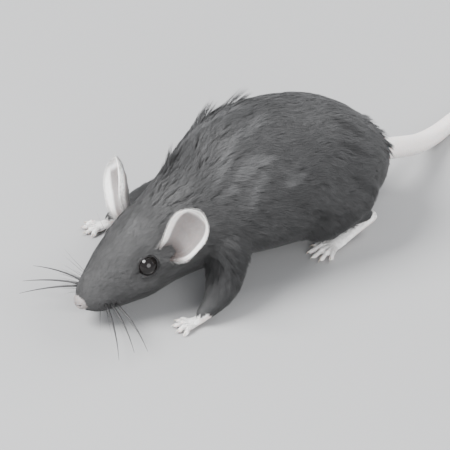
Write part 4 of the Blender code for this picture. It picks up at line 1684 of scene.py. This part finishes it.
def aimed(name, data, place, back):
    """A camera or a light at a place in metres, with a direction at its back."""
    obj = scene_object(name, data)
    obj.location = place
    obj.rotation_mode = "QUATERNION"
    obj.rotation_quaternion = Vector(back).to_track_quat("Z", "Y")
    return obj


def camera():
    """A long lens from the mouse's front left, looking down."""
    turn, tilt = math.radians(VIEW["azimuth"]), math.radians(VIEW["elevation"])
    right = np.array((math.cos(turn), math.sin(turn), 0.0))
    level = math.sin(tilt)
    up = np.array((-math.sin(turn) * level, math.cos(turn) * level, math.cos(tilt)))
    back = np.cross(right, up)
    aim = np.array((MIDLINE, NOSE, 7.5)) - right * NOSE_IN_VIEW[0] - up * NOSE_IN_VIEW[1]
    data = bpy.data.cameras.new("camera")
    data.sensor_width = SENSOR
    data.lens = SENSOR * VIEW["distance"] / (VIEW["across"] * MM)
    data.clip_start, data.clip_end = 0.01, 20.0
    place = aim * MM + back * VIEW["distance"]
    bpy.context.scene.camera = aimed("camera", data, place, back)


def floor():
    form = bmesh.new()
    bmesh.ops.create_grid(form, x_segments=4, y_segments=4, size=3.0)
    obj = form_object("floor", form)
    look = Look("floor", 0.85)
    look.ramp(look.noise(3.0), (0.3, 0.3, 0.3), (0.33, 0.33, 0.33))
    obj.data.materials.append(look.material)
    obj.location.z = -FLOOR_DROP
    obj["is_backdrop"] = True


LIGHTS = (  # name, place in metres, size, power
    ("key", (-0.25, -0.75, 1.0), 0.7, 44.0),
    ("fill", (0.95, -0.35, 0.5), 0.9, 14.0),
    ("rim", (0.1, 0.9, 0.8), 0.6, 14.0),
)


def lights():
    for name, place, size, power in LIGHTS:
        data = bpy.data.lights.new(name, "AREA")
        data.shape = "DISK"
        data.size = size
        data.energy = power
        aimed(name, data, place, place)
    world = bpy.data.worlds.new("studio")
    world.use_nodes = True
    background = world.node_tree.nodes["Background"]
    background.inputs["Color"].default_value = (0.9, 0.93, 1.0, 1.0)
    background.inputs["Strength"].default_value = 0.85
    bpy.context.scene.world = world


# ---------------------------------------------------------------- the whole mouse

LIMBS = ("ear", "foreleg", "forepaw", "hindleg", "hindfoot")
FLESH = ["nose", "head", "neck", "trunk"]
FLESH += [limb + "_" + side for limb in LIMBS for side in SIDES]
FLESH += ["tail_1", "tail_2", "tail_3", "tail_4"]


def finish_piece(obj, material):
    """Gives a piece its material and its place on the body."""
    obj.data.materials.clear()
    obj.data.materials.append(material)
    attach(obj, "root")


def build_coat(body, tree, draw):
    """The coat, and the finer hair on the ears and the tail."""
    coat = coat_material()
    hairs = coat_hairs(body, tree, draw)
    for piece in coat_pieces(hairs, draw):
        finish_piece(piece, coat)
    for side in SIDES:
        fine = ear_hairs(side, draw)
        finish_piece(hair_mesh("ear_hairs_" + side, fine, draw), coat)
    finish_piece(hair_mesh("tail_hairs", tail_hairs(draw), draw), coat)


def build_skin(body, tree):
    """The skin with its colours, and with the bare skin's material where no coat covers it."""
    dots = [place[2] for outward in SIDES.values() for place in whisker_roots(outward, tree)]
    skin = whole_skin(body)
    skin.name = "skin"
    colours, bare = skin_colours(skin, dots)
    set_colours(skin.data, "tint", colours)
    finish_piece(skin, skin_material())
    skin.data.materials.append(bare_material())
    corners = numbers_of(skin.data.loops, "vertex_index")
    starts = numbers_of(skin.data.polygons, "loop_start")
    kinds = np.maximum.reduceat(bare[corners], starts) > 0.5
    skin.data.polygons.foreach_set("material_index", kinds.astype(np.int32))
    skin.data.shade_smooth()
    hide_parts(*FLESH)


def build_mouse():
    """All the mouse's pieces, in the order that their random draws need."""
    draw = np.random.default_rng(7)
    body = body_skin()
    tree = skin_tree(body)
    build_coat(body, tree, draw)
    finish_piece(whiskers(tree), whisker_material())
    finish_piece(claws(), horn_material())
    eye = eye_material()
    for side in SIDES:
        ball = eyeball(side)
        finish_piece(ball, eye)
        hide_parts("eye_" + side)
    build_skin(body, tree)


floor()
lights()
camera()
build_mouse()
bpy.context.view_layer.update()
boxes = {"cad": cad_box, "visual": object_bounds()}
{name: [list(corner) for corner in box] for name, box in boxes.items()}
